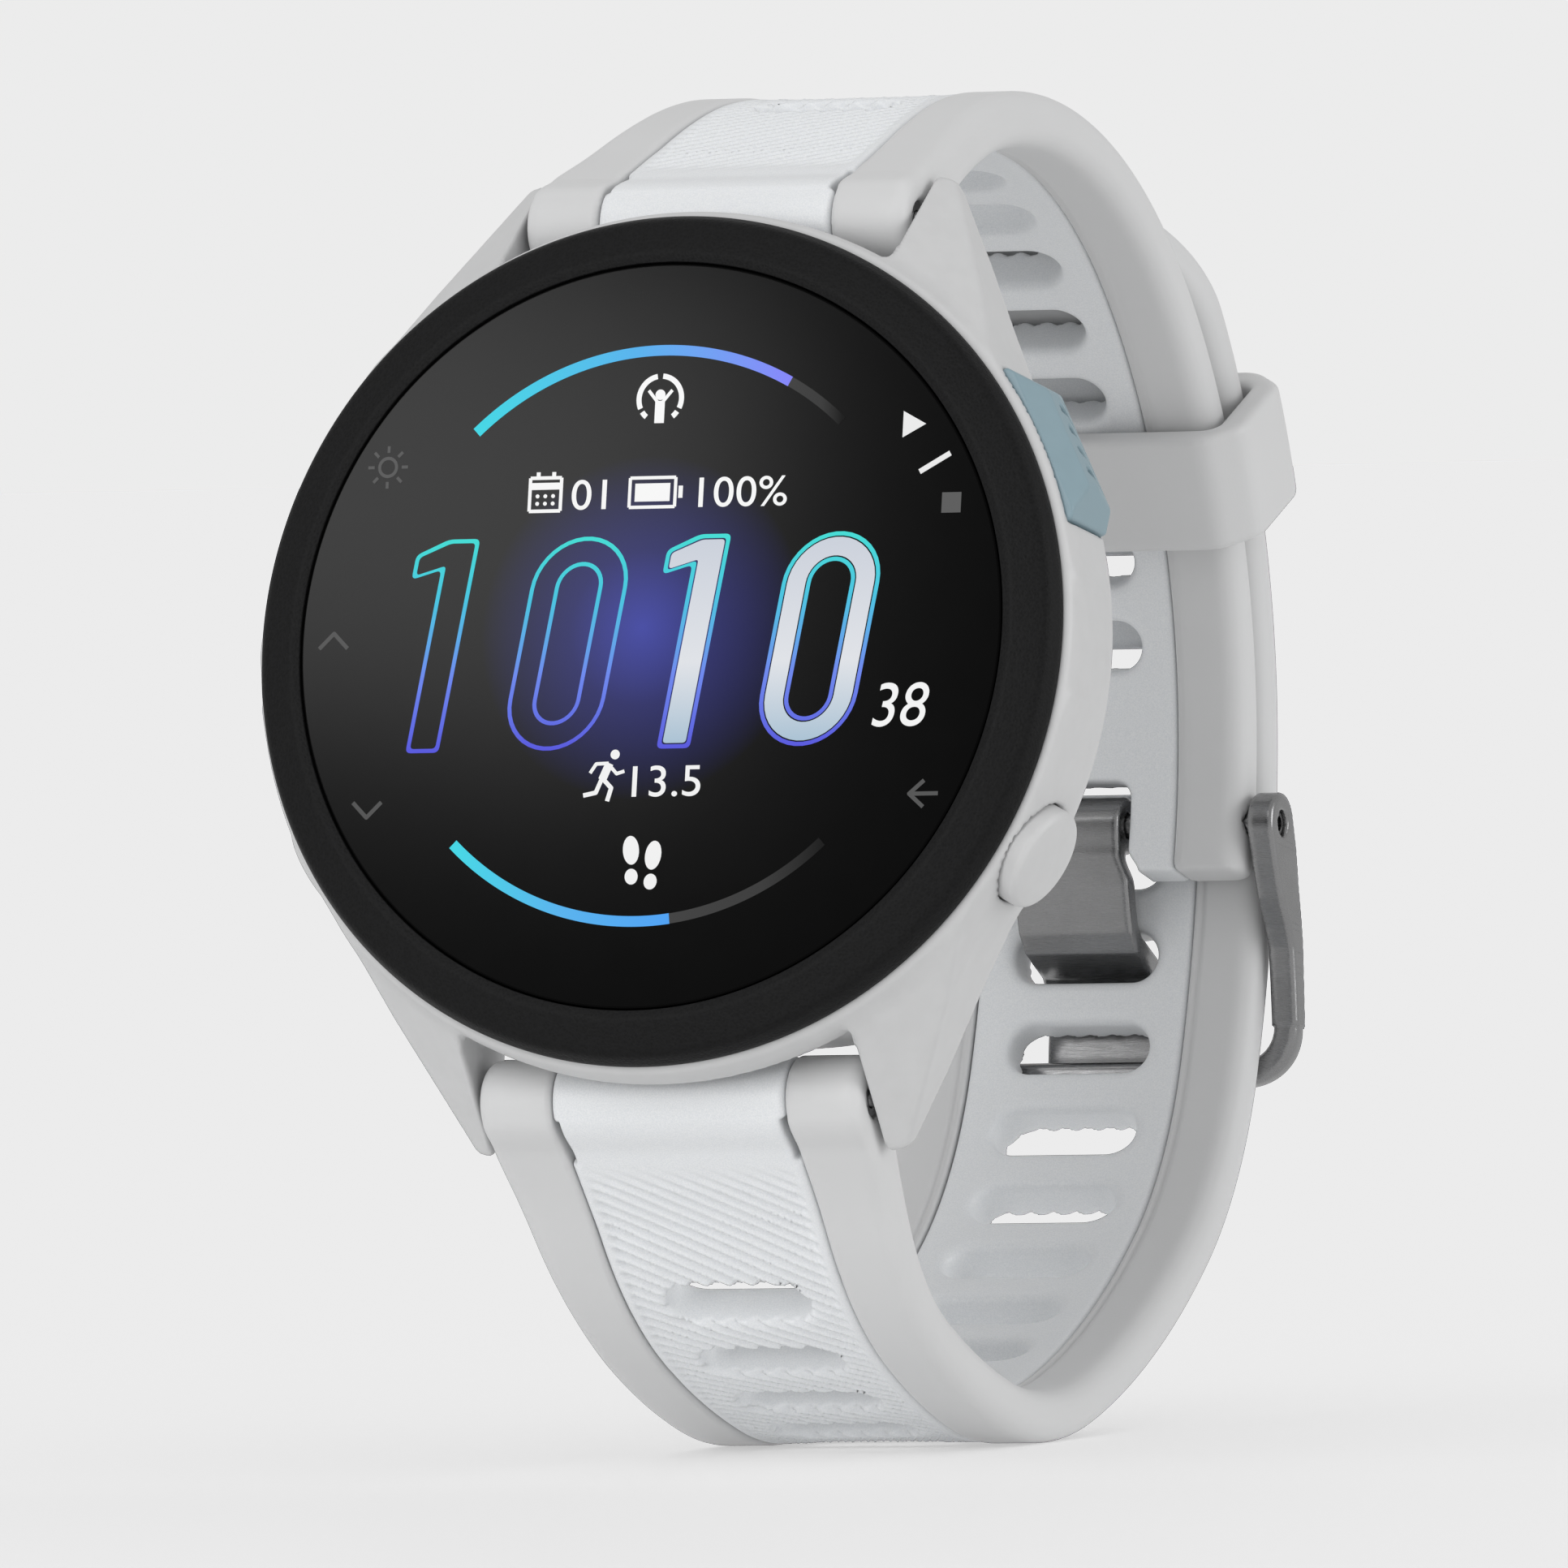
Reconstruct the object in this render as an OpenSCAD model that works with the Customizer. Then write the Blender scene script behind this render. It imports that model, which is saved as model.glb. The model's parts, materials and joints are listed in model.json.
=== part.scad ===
// Running watch with a round screen, five side buttons and a buckled two-colour strap.
// Working frame: X points to 3 o'clock, Y goes in from the glass towards the wrist,
// Z points to 12 o'clock, and Y = 0 is the crest of the bezel.
// The finished watch leans back by "lean" and has its origin in the middle of the wrist.

/* [Case] */
// Largest radius of the case band
case_r = 21.5; // [21.2:0.1:21.8]
// Depth of the case band's rear edge
case_back_y = 9.8; // [9.6:0.1:10]
// Radius of the cavity inside the case
cavity_r = 18.2; // [18.1:0.1:18.4]
// Distance between the inner faces of the lugs
lug_gap = 20.6; // [20.4:0.1:21]
// Height of the lug tips above the middle
lug_tip_z = 24; // [23.8:0.1:24.2]
// Height of the flat wall behind the strap ends
recess_z = 18.9; // [18.7:0.1:19.2]

/* [Front] */
// Outer radius of the bezel
bezel_r = 21; // [20.8:0.1:21.2]
// Radius of the bezel's crest
crest_r = 18.96; // [18.8:0.02:19.1]
// Radius of the glass
lens_r = 18.42; // [18.3:0.02:18.44]
// Radius of the display panel
display_r = 17.1; // [16.5:0.1:17.2]

/* [Buttons] */
// Distance that a button travels when it is pressed
button_travel = 0.6; // [0.4:0.1:0.6]
// Length of the start button round the case
start_len = 8.4; // [8.2:0.1:8.8]
// Width of the start button through the case
start_wide = 4.6; // [4.4:0.1:4.8]
// Diameter of the round buttons
button_d = 5.2; // [5:0.1:5.3]

/* [Strap] */
// Height of the spring bars above and below the middle
bar_z = 21.7; // [21.6:0.1:21.8]
// Depth of the spring bars
bar_y = 7.4; // [7.3:0.1:7.5]
// Thickness of the upper strap
upper_t = 2.8; // [2.7:0.1:2.8]
// Thickness of the lower strap
lower_t = 2.6; // [2.5:0.1:2.6]
// Half width of the strap at the lugs
strap_wide_hw = 10.1; // [10:0.05:10.15]
// Half width of the strap away from the lugs
strap_hw = 9.3; // [9:0.1:9.3]
// Distance between neighbouring slots of the upper strap
upper_pitch = 4.55; // [4.5:0.05:4.6]
// Distance between neighbouring slots of the lower strap
lower_pitch = 4.88; // [4.86:0.01:4.9]
// Width of a slot across the strap
slot_wide = 7.6; // [7:0.1:7.8]
// Height of a slot along the strap
slot_tall = 2.6; // [2.4:0.1:2.7]

/* [Stance] */
// Angle that the watch leans back as it stands
lean = 12; // [0:1:20]

/* [Hidden] */
$fn = 96;
gap = 0.05;
centre_y = 33;

// The upper strap runs over the top of the wrist and the lower strap under it. Each is a
// chain of arcs, [length, turn in degrees], from its spring bar. Past "keeper_from" the
// upper strap is one arc about "hub", and the lower strap's tail lies on it concentrically.
upper_arcs = [[12, -14.2], [12, -26.8], [14, -30.8], [33.3, -62.2]];
lower_arcs = [[8, 3.5], [9, 25.8], [9, 11.5], [10.7, 30.2], [16, 20.2], [12, 33.7],
    [15.6, 16.6], [33, 56.4]];
upper = [[bar_y, bar_z], 39.1, upper_arcs, 1, upper_t];
lower = [[bar_y, -bar_z], -45.5, lower_arcs, -1, lower_t];
upper_len = 71.3;
lower_len = 113.3;
keeper_from = 38;
hub_r = 33.3 / 62.2 * 180 / PI;
hub = station(upper, keeper_from)[0] + hub_r * down_normal(station(upper, keeper_from)[1]);
tail_r = hub_r + (upper_t + lower_t) / 2 + 0.15;

core_hw = 5.7;
core_wide_hw = 6.15;
taper_len = 25;
barrel_r = 2.1;
// Rows of slots: distance of the first, pitch and number
upper_row = [14, upper_pitch, 11];
lower_row = [11.8, lower_pitch, 18];
tip_len = 9.3;
ring_step = 2;

// Each button: name's angle on the dial, and its depth
start_at = 26.9;
back_at = -28.7;
light_at = 151.3;
up_at = 180;
down_at = 208.7;
button_y = 4.9;
pocket_floor = 20;
cap_back = pocket_floor + button_travel + 0.1;
back_out = 22.5;
left_out = 21.85;
stem_r = 0.75;
stem_in = 17.3;
switch_face = stem_in - button_travel - 0.05;

bar_tube_r = 0.9;
bar_tip_r = 0.45;
release_travel = 1.6;
lever_x = 8.6;

pin_r = 0.6;
pin = [hub[0] + hub_r, hub[1]];
keeper_len = 6.1;
keeper_s = 50.6;
keeper_play = 0.2;
arm_in = 9.6;
arm_out = 11;
// Middle line of the frame's arm and of the tongue from the pin, in depth and height, and
// half the thickness at each point
arm_line = [[0, 0], [0.75, -1.5], [1.45, -3], [2.3, -4.4], [2.9, -5.6], [3.3, -7.2],
    [3.75, -9.2], [4.1, -11], [4.22, -12]];
arm_half = [1.55, 1.5, 1.3, 1, 0.8, 0.72, 0.68, 0.65, 0.65];
tongue_line = [[-0.95, 0], [-0.75, -1.5], [-0.3, -3], [0.15, -4.2], [0.55, -5.1],
    [1.3, -5.8], [2.5, -6.2], [3.9, -6.65], [4.9, -7.75], [5.3, -9.3], [5.4, -11],
    [5.35, -12.3], [5.3, -13.1]];
tongue_half = [for (p = tongue_line) 0.55];
knuckle_r = 1.6;
far_bar_r = 0.65;

// ---- Geometry of the strap's route ----

function down_normal(h) = [sin(h), -cos(h)];

// Point reached from p, heading h, after an arc
function arc_end(p, h, l, t) =
    p + l / (t * PI / 180) * [sin(h + t) - sin(h), cos(h) - cos(h + t)];

function walk(p, h, arcs, s, i) =
    let (l = arcs[i][0], t = arcs[i][1])
    s <= l || i == len(arcs) - 1
        ? [arc_end(p, h, s, t * s / l + (s == 0 ? 1e-9 : 0)), h + t * s / l]
        : walk(arc_end(p, h, l, t), h + t, arcs, s - l, i + 1);

// Middle point [y, z] and heading of a strap at distance s from its bar
function station(strap, s) = walk(strap[0], strap[1], strap[2], s, 0);

// Point of a strap at distance s, x across it and n out from its middle surface
function strap_point(strap, s, x, n) =
    let (at = station(strap, s), out = strap[3] * n)
    [x, at[0][0] - out * sin(at[1]), at[0][1] + out * cos(at[1])];

function ease(s, a, b) = a + (b - a) * min(max(s / taper_len, 0), 1);
function outer_hw(s) = ease(s, strap_wide_hw, strap_hw);
function inner_hw(s) = ease(s, core_wide_hw, core_hw);

// Half thickness, which grows into the barrel round the spring bar
function half_t(strap, s) = strap[4] / 2 + 0.6 * max(1 - s / 7, 0);

// Half width of the rounded tip of the lower strap
function tip_hw(s) = strap_hw * sqrt(max(1 - pow((s - lower_len + tip_len) / tip_len, 2), 0.02));

function rail_section(x0, x1, t) = concat([[x0, -t], [x0, t]],
    [for (a = [90:-36:-90]) [x1 - t + t * cos(a), t * sin(a)]]);
function flat_section(w, t) = [[-w, -t], [-w, t], [w, t], [w, -t]];
function full_section(w, t) = concat(
    [for (a = [90:-36:-90]) [w - t + t * cos(a), t * sin(a)]],
    [for (a = [90:-36:-90]) [-w + t - t * cos(a), -t * sin(a)]]);
function mirrored(points) = [for (i = [len(points) - 1:-1:0]) [-points[i][0], points[i][1]]];

// ---- Building blocks ----

// Solid turned about the Y axis from a profile of [radius, depth]
module turned(profile) {
    rotate([-90, 0, 0]) rotate_extrude($fn = 144) polygon(profile);
}

// Solid between two depths from an outline in X and Z
module plate(y0, y1) {
    rotate([90, 0, 0]) translate([0, 0, -y1]) linear_extrude(y1 - y0) children();
}

// Solid between two x places from an outline in Y and Z
module slab(x0, x1) {
    translate([x0, 0, 0]) rotate([90, 0, 90]) linear_extrude(x1 - x0) children();
}

module block(x0, x1, y0, y1, z0, z1) {
    translate([x0, y0, z0]) cube([x1 - x0, y1 - y0, z1 - z0]);
}

// Rod along X from x0 to x1
module rod(x0, x1, r, fn = 32) {
    translate([x0, 0, 0]) rotate([0, 90, 0]) cylinder(h = x1 - x0, r = r, $fn = fn);
}

// Places children at a clock angle, with +X pointing out of the case
module radial(angle) {
    translate([0, button_y, 0]) rotate([0, -angle, 0]) children();
}

module at_bar(up) translate([0, bar_y, up * bar_z]) children();
module at_pin() translate([0, pin[0], pin[1]]) children();

// Loft through the sections at each distance along a strap
module loft(strap, stops, sections) {
    n = len(sections[0]);
    points = [for (i = [0:len(stops) - 1]) for (p = sections[i])
        strap_point(strap, stops[i], p[0], p[1])];
    sides = [for (i = [0:len(stops) - 2]) for (j = [0:n - 1])
        let (a = i * n + j, b = i * n + (j + 1) % n)
        for (f = [[a, b, b + n], [a, b + n, a + n]]) f];
    start = [[for (j = [n - 1:-1:0]) j]];
    finish = [[for (j = [0:n - 1]) (len(stops) - 1) * n + j]];
    faces = concat(start, sides, finish);
    outward = strap[3] < 0;
    polyhedron(points, [for (f = faces) outward ? f : [for (k = [len(f) - 1:-1:0]) f[k]]]);
}

// Places children on a strap, with +Y pointing out of the loop
module on_strap(strap, s) {
    at = station(strap, s);
    translate([0, at[0][0], at[0][1]]) rotate([at[1] + strap[3] * 90, 0, 0]) children();
}

module strap_slot() {
    r = slot_tall / 2;
    x = slot_wide / 2 - r;
    translate([-x, -4, -r]) cube([2 * x, 8, 2 * r]);
    for (side = [-x, x]) {
        translate([side, 4, 0]) rotate([90, 0, 0]) cylinder(h = 8, r = r, $fn = 24);
    }
}

// Solid swept about the hub, between two angles, from a section of [radius, x]
module about_hub(from, to) {
    translate([0, hub[0], hub[1]]) rotate([0, 90, 0]) rotate([0, 0, 90 + from])
        rotate_extrude(angle = to - from, $fn = 180) children();
}

function line_side(line, half, side) = [for (i = [0:len(line) - 1])
    let (d = line[min(i + 1, len(line) - 1)] - line[max(i - 1, 0)])
    line[i] + side * half[i] * [-d[1], d[0]] / norm(d)];

// Flat strip from x0 to x1 along a line of points from the pin
module strip(x0, x1, line, half) {
    back = line_side(line, half, -1);
    at_pin() slab(x0, x1)
        polygon(concat(line_side(line, half, 1), [for (i = [len(back) - 1:-1:0]) back[i]]));
}

module bevelled(r0, r1, hw, c) {
    polygon([[r0 + c, -hw], [r1 - c, -hw], [r1, -hw + c], [r1, hw - c],
        [r1 - c, hw], [r0 + c, hw], [r0, hw - c], [r0, -hw + c]]);
}

// ---- Case ----

// A lug is a fang: straight sides in the front view, and a flat facet that slopes from the
// bezel down to the tip and out to the side.
module lug(side, up) {
    line_at = 20.55;
    line_turn = 24.2;
    meet = line_turn + acos(line_at / case_r);
    side_x = (line_at - sin(line_turn) * (lug_tip_z - 0.6)) / cos(line_turn);
    mirror([side < 0 ? 1 : 0, 0, 0]) mirror([0, 0, up < 0 ? 1 : 0]) difference() {
        intersection() {
            plate(2, 10) polygon([[lug_gap / 2, 10], [lug_gap / 2, lug_tip_z],
                [side_x - 0.8, lug_tip_z], [side_x, lug_tip_z - 0.6],
                [case_r * cos(meet), case_r * sin(meet)], [16, 8]]);
            slab(8, 22) polygon([[2.3, 4], [2.3, 18.2], [7.9, lug_tip_z - 0.2],
                [8.6, lug_tip_z], [9.4, lug_tip_z - 0.6], [9.4, 20], [8.9, 16], [8.7, 10],
                [6, 4]]);
        }
        lug_facet();
    }
}

// Block that lies on the lug's facet, whose outward direction is "out"
module lug_facet() {
    out = [0.72, -1, 1.02];
    translate([lug_gap / 2, 4.46, 20.4])
        rotate([0, acos(out[2] / norm(out)), atan2(out[1], out[0])])
        translate([-20, -20, 0]) cube([40, 40, 20]);
}

module case_shell() {
    curve = [for (a = [0:15:90]) [18.75 + (case_r - 18.75) * cos(a),
        6 + (case_back_y - 6) * sin(a)]];
    color("gainsboro") difference() {
        union() {
            turned(concat([[cavity_r - 1, 1.9], [21, 1.9], [21.3, 2.3], [case_r, 3.2]], curve,
                [[cavity_r - 1, case_back_y]]));
            for (side = [-1, 1]) for (up = [-1, 1]) lug(side, up);
        }
        turned([[0, 1], [cavity_r, 1], [cavity_r, 7.4], [17, 7.4], [17, 8.3], [cavity_r, 8.3],
            [cavity_r, 11], [0, 11]]);
        for (up = [-1, 1]) mirror([0, 0, up < 0 ? 1 : 0]) {
            block(-lug_gap / 2, lug_gap / 2, 4.2, 12, recess_z, 26);
            translate([0, bar_y, bar_z]) rod(-11.5, 11.5, 0.5);
        }
        radial(start_at) {
            block(pocket_floor, 24, -start_wide / 2 - 0.1, start_wide / 2 + 0.1,
                -start_len / 2 - 0.15, start_len / 2 + 0.15);
            rod(17, 21, stem_r + 0.03);
            rod(18.8, 19.5, 1.3);
        }
        for (angle = [back_at, light_at, up_at, down_at]) radial(angle) {
            rod(pocket_floor, 24, button_d / 2 + 0.15);
            rod(17, 21, stem_r + 0.03);
            rod(18.8, 19.5, 1.3);
        }
    }
    color("gainsboro") screw_bosses();
}

module screw_bosses() {
    for (a = [45:90:315]) rotate([0, a, 0]) difference() {
        translate([16.2, 7, 0]) rotate([-90, 0, 0]) cylinder(h = 1.3, r = 1.7, $fn = 32);
        translate([16.2, 6, 0]) rotate([-90, 0, 0]) cylinder(h = 3, r = 0.52, $fn = 24);
    }
}

module bezel() {
    color([0.16, 0.16, 0.17]) turned([[bezel_r, 1.85], [bezel_r, 1.4], [bezel_r - 0.32, 0.6],
        [crest_r, 0], [lens_r + 0.06, 0.12], [lens_r + 0.06, 1.5], [17.3, 1.5], [17.3, 2.7],
        [cavity_r - gap, 2.7], [cavity_r - gap, 1.85]]);
}

module lens() {
    color([0.04, 0.04, 0.05]) turned([[0, 0.2], [lens_r - 0.15, 0.2], [lens_r, 0.32],
        [lens_r, 1.3], [0, 1.3]]);
}

module lens_gasket() {
    color("black") turned([[17.4, 1.3], [18.35, 1.3], [18.35, 1.5], [17.4, 1.5]]);
}

module display_panel() {
    color("black") turned([[0, 1.35], [display_r, 1.35], [display_r, 2.5], [0, 2.5]]);
}

// ---- Inside the case ----

module inner_frame() {
    color("dimgray") turned([[0, 2.8], [17.1, 2.8], [17.1, 3.3], [15.5, 3.3], [15.5, 6.8],
        [15.1, 6.8], [15.1, 3.3], [0, 3.3]]);
}

module main_board() {
    color("darkgreen") turned([[0, 3.4], [14.9, 3.4], [14.9, 4.1], [0, 4.1]]);
}

module board_chips() {
    color([0.12, 0.12, 0.13]) {
        block(-7, 0, 4.1, 5, -6, 1);
        block(2, 7, 4.1, 4.9, -3, 3);
        block(-5, -1, 4.1, 4.8, 4, 8);
        block(2, 6, 4.1, 4.8, 6, 9);
        for (i = [0:4]) block(-10, -8.8, 4.1, 4.6, -7 + 3 * i, -6 + 3 * i);
    }
}

module battery() {
    color("silver") block(-9, 9, 5.1, 8.1, -11, 11);
}

module gps_antenna() {
    color("goldenrod") rotate([-90, 0, 0]) rotate([0, 0, -130]) rotate_extrude(angle = 80)
        translate([17.5, 3.1]) square([0.4, 2]);
}

module vibration_motor() {
    color("silver") translate([11.9, 6.7, -4.5]) cylinder(h = 9, r = 1.5, $fn = 32);
}

module piezo_buzzer() {
    color("tan") block(-14, -9.4, 5.2, 7.4, -4, 4);
}

module side_switches() {
    color("lightgray") for (angle = [start_at, back_at, light_at, up_at, down_at]) {
        radial(angle) block(15.6, switch_face, -1.2, 1.2, -1.6, 1.6);
    }
}

module button_seals() {
    color([0.1, 0.1, 0.1]) for (angle = [start_at, back_at, light_at, up_at, down_at]) {
        radial(angle) translate([19.15, 0, 0]) rotate([0, 90, 0]) rotate_extrude($fn = 32)
            translate([1.04, 0]) circle(r = 0.23, $fn = 16);
    }
}

// ---- Back ----

module rear_cover() {
    color("gainsboro") difference() {
        turned([[8.6, 8.6], [18.1, 8.6], [18.1, 9.7], [16.8, 9.9], [13.6, 9.95], [12.7, 10.9],
            [9.4, 11.15], [8.6, 11.1]]);
        for (a = [45:90:315]) rotate([0, a, 0]) translate([16.2, 8, 0]) rotate([-90, 0, 0]) {
            cylinder(h = 3, r = 0.7, $fn = 24);
            translate([0, 0, 1.3]) cylinder(h = 3, r = 1.25, $fn = 24);
        }
        block(-16.25, -13.95, 8, 11, -3.65, 3.65);
    }
}

module rear_gasket() {
    color([0.1, 0.1, 0.1]) turned([[17.25, 8.3], [17.95, 8.3], [17.95, 8.6], [17.25, 8.6]]);
}

module sensor_window() {
    color([0.08, 0.08, 0.1]) turned([[0, 9.9], [8.55, 9.9], [8.55, 10.9], [7.2, 11.3],
        [4, 11.52], [0, 11.6]]);
}

module sensor_board() {
    color("darkgreen") turned([[0, 8.7], [8.3, 8.7], [8.3, 9.2], [0, 9.2]]);
}

module sensor_leds() {
    color("lightgreen") for (a = [0:60:300]) rotate([0, a, 0]) {
        block(3.8, 5.2, 9.2, 9.7, -0.7, 0.7);
    }
    color("black") block(-1.2, 1.2, 9.2, 9.6, -1.2, 1.2);
}

module charging_socket() {
    color([0.2, 0.2, 0.2]) {
        block(-16.4, -13.8, 7.9, 8.6, -3.8, 3.8);
        block(-16.2, -14, 8.5, 9, -3.6, 3.6);
    }
}

module charging_contacts() {
    color("gold") for (z = [-2.4:1.6:2.4]) {
        translate([-15.1, 9, z]) rotate([-90, 0, 0]) cylinder(h = 0.5, r = 0.4, $fn = 24);
    }
}

module cover_screws() {
    color("silver") for (a = [45:90:315]) rotate([0, a, 0]) translate([16.2, 0, 0]) {
        difference() {
            translate([0, 9.3, 0]) rotate([-90, 0, 0]) cylinder(h = 0.5, r = 1.15, $fn = 24);
            translate([0, 9.55, 0]) rotate([-90, 0, 0]) cylinder(h = 1, r = 0.45, $fn = 6);
        }
        translate([0, 7.1, 0]) rotate([-90, 0, 0]) cylinder(h = 2.2, r = 0.5, $fn = 24);
    }
}

// ---- Buttons ----

module button_stem() {
    difference() {
        rod(stem_in, cap_back + 0.1, stem_r);
        difference() {
            rod(17.6, 18, stem_r + 1);
            rod(17, 19, stem_r - 0.2);
        }
    }
}

module clip_ring(angle) {
    color("silver") radial(angle) difference() {
        rod(17.65, 17.95, 1.5);
        rod(17, 19, stem_r - 0.15);
    }
}

module start_stop_button() {
    half = start_wide / 2;
    color([0.56, 0.65, 0.69]) radial(start_at) {
        intersection() {
            translate([0, 0, -start_len / 2]) linear_extrude(start_len)
                polygon([[cap_back, -half], [21.45, -half], [22.3, -half + 1.4],
                    [22.35, half - 2], [21.9, half], [cap_back, half]]);
            rotate([90, 0, 0]) translate([0, 0, -half - 1]) linear_extrude(start_wide + 2)
                polygon([[20, -start_len / 2], [21.2, -start_len / 2], [22.5, -start_len / 2 + 1.5],
                    [22.5, start_len / 2 - 1.5], [21.2, start_len / 2], [20, start_len / 2]]);
        }
        button_stem();
    }
}

module round_button(angle, out) {
    r = button_d / 2;
    color("gainsboro") radial(angle) {
        rotate([0, 90, 0]) rotate_extrude($fn = 64) polygon([[0, cap_back], [r, cap_back],
            [r, out - 0.55], [r - 0.2, out - 0.3], [r - 0.9, out - 0.1], [0, out]]);
        button_stem();
    }
}

module start_stop_clip() clip_ring(start_at);
module back_button() round_button(back_at, back_out);
module back_clip() clip_ring(back_at);
module light_button() round_button(light_at, left_out);
module light_clip() clip_ring(light_at);
module up_button() round_button(up_at, left_out);
module up_clip() clip_ring(up_at);
module down_button() round_button(down_at, left_out);
module down_clip() clip_ring(down_at);

// ---- Spring bars and their quick releases ----

// Direction of the release lever, in degrees about X from +Y
function lever_turn(up) = up > 0 ? upper[1] - 90 : lower[1] + 90;

module spring_bar(up) {
    color("silver") at_bar(up) difference() {
        union() {
            rod(-9.9, 9.9, bar_tube_r);
            rod(-11.4, -9.8, bar_tip_r);
        }
        rod(1, 12, bar_tip_r + 0.06);
        rotate([lever_turn(up), 0, 0]) {
            block(lever_x - release_travel - 0.55, lever_x + 0.55, 0, 2, -0.5, 0.5);
        }
    }
}

module bar_spring(up) {
    color("silver") at_bar(up) for (i = [0:8]) translate([1.25 + 0.22 * i, 0, 0]) {
        rotate([0, 90, 0]) rotate_extrude($fn = 24) translate([0.32, 0]) circle(r = 0.1, $fn = 16);
    }
}

module release_lever(up) {
    color("silver") at_bar(up) {
        rod(5, 11.4, bar_tip_r);
        translate([lever_x, 0, 0]) rotate([lever_turn(up) - 90, 0, 0])
            cylinder(h = 2.9, r = 0.42, $fn = 24);
    }
}

module upper_spring_bar() spring_bar(1);
module upper_bar_spring() bar_spring(1);
module upper_release_lever() release_lever(1);
module lower_spring_bar() spring_bar(-1);
module lower_bar_spring() bar_spring(-1);
module lower_release_lever() release_lever(-1);

// ---- Strap ----

function stops(to) = concat([for (s = [0:ring_step:to - 0.5]) s], [to]);

module strap_core(strap, to, row, up) {
    places = stops(to);
    color([0.9, 0.92, 0.94]) difference() {
        union() {
            loft(strap, places, [for (s = places) flat_section(inner_hw(s), half_t(strap, s))]);
            at_bar(up) rod(-core_wide_hw, core_wide_hw, barrel_r);
        }
        at_bar(up) rod(-8, 8, bar_tube_r + 0.1);
        for (i = [0:row[2] - 1]) on_strap(strap, row[0] + i * row[1]) strap_slot();
        if (up > 0) {
            translate([0, 0, pin[1]]) block(-3.1, 3.1, 50, 64, -6, 2.6);
            at_pin() rod(-8, 8, pin_r + 0.05);
        }
    }
}

module strap_rails(strap, to, up) {
    places = stops(to + 0.1);
    color([0.8, 0.8, 0.8]) difference() {
        union() {
            for (side = [-1, 1]) {
                loft(strap, places, [for (s = places)
                    let (rail = rail_section(inner_hw(s) + gap, outer_hw(s), half_t(strap, s)))
                    side > 0 ? rail : mirrored(rail)]);
                at_bar(up) mirror([side < 0 ? 1 : 0, 0, 0]) rod(core_wide_hw + gap, strap_wide_hw, barrel_r);
            }
            if (up < 0) strap_tip(strap, to);
        }
        at_bar(up) rod(-12, 12, bar_tube_r + 0.1);
        at_bar(up) rotate([lever_turn(up), 0, 0]) {
            block(lever_x - release_travel - 0.8, lever_x + 0.7, 0, 4, -0.9, 0.9);
        }
        if (up > 0) at_pin() rod(-12, 12, pin_r + 0.05);
    }
}

module strap_tip(strap, to) {
    places = [for (i = [0:10]) to + tip_len * sin(9 * i)];
    loft(strap, places, [for (s = places) full_section(tip_hw(s), lower_t / 2)]);
}

module upper_strap_core() strap_core(upper, upper_len, upper_row, 1);
module upper_strap_rails() strap_rails(upper, upper_len - 0.1, 1);
module lower_strap_core() strap_core(lower, lower_len - tip_len - gap, lower_row, -1);
module lower_strap_rails() strap_rails(lower, lower_len - tip_len, -1);

// ---- Keeper and buckle ----

module keeper_loop() {
    at = station(upper, keeper_s)[1] + 90;
    spread = keeper_len / 2 / hub_r * 180 / PI;
    inner = hub_r - upper_t / 2 - keeper_play;
    outer = tail_r + lower_t / 2 + keeper_play;
    color([0.8, 0.8, 0.8]) about_hub(at - spread, at + spread) difference() {
        bevelled(inner - 1.5, outer + 1.5, strap_hw + 1.8, 1.3);
        bevelled(inner, outer, strap_hw + 0.3, 0.4);
    }
}

module buckle_frame() {
    far = pin + arm_line[len(arm_line) - 1];
    color([0.35, 0.35, 0.36]) difference() {
        union() {
            for (side = [-1, 1]) mirror([side < 0 ? 1 : 0, 0, 0]) {
                strip(arm_in, arm_out, arm_line, arm_half);
                at_pin() rod(arm_in, arm_out, knuckle_r);
            }
            translate([0, far[0], far[1]]) rod(-arm_out, arm_out, far_bar_r);
        }
        at_pin() rod(-12, 12, pin_r + 0.06);
        translate([0, far[0] + 0.4, far[1]]) block(-3.3, 3.3, 0, 2, -2, 2);
    }
}

// The tongue leaves the pin on the wrist side, passes out through a slot of the lower strap
// and rests in the far bar's notch.
module buckle_tongue() {
    blade = [for (i = [2:len(tongue_line) - 1]) tongue_line[i]];
    color([0.35, 0.35, 0.36]) difference() {
        union() {
            at_pin() rod(-2.7, 2.7, 1.45);
            strip(-2.7, 2.7, tongue_line, tongue_half);
            strip(-3.1, 3.1, blade, tongue_half);
        }
        at_pin() rod(-3, 3, pin_r + 0.06);
    }
}

module buckle_pin() {
    color("silver") at_pin() rod(-10.8, 10.8, pin_r);
}

// ---- Finished watch ----

module worn() {
    rotate([-lean, 0, 0]) translate([0, -centre_y, 0]) children();
}

worn() case_shell();
worn() bezel();
worn() lens();
worn() lens_gasket();
worn() display_panel();
worn() inner_frame();
worn() main_board();
worn() board_chips();
worn() battery();
worn() gps_antenna();
worn() vibration_motor();
worn() piezo_buzzer();
worn() rear_cover();
worn() rear_gasket();
worn() sensor_window();
worn() sensor_board();
worn() sensor_leds();
worn() charging_socket();
worn() charging_contacts();
worn() cover_screws();
worn() side_switches();
worn() button_seals();
worn() start_stop_button();
worn() start_stop_clip();
worn() back_button();
worn() back_clip();
worn() light_button();
worn() light_clip();
worn() up_button();
worn() up_clip();
worn() down_button();
worn() down_clip();
worn() upper_spring_bar();
worn() upper_bar_spring();
worn() upper_release_lever();
worn() lower_spring_bar();
worn() lower_bar_spring();
worn() lower_release_lever();
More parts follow.
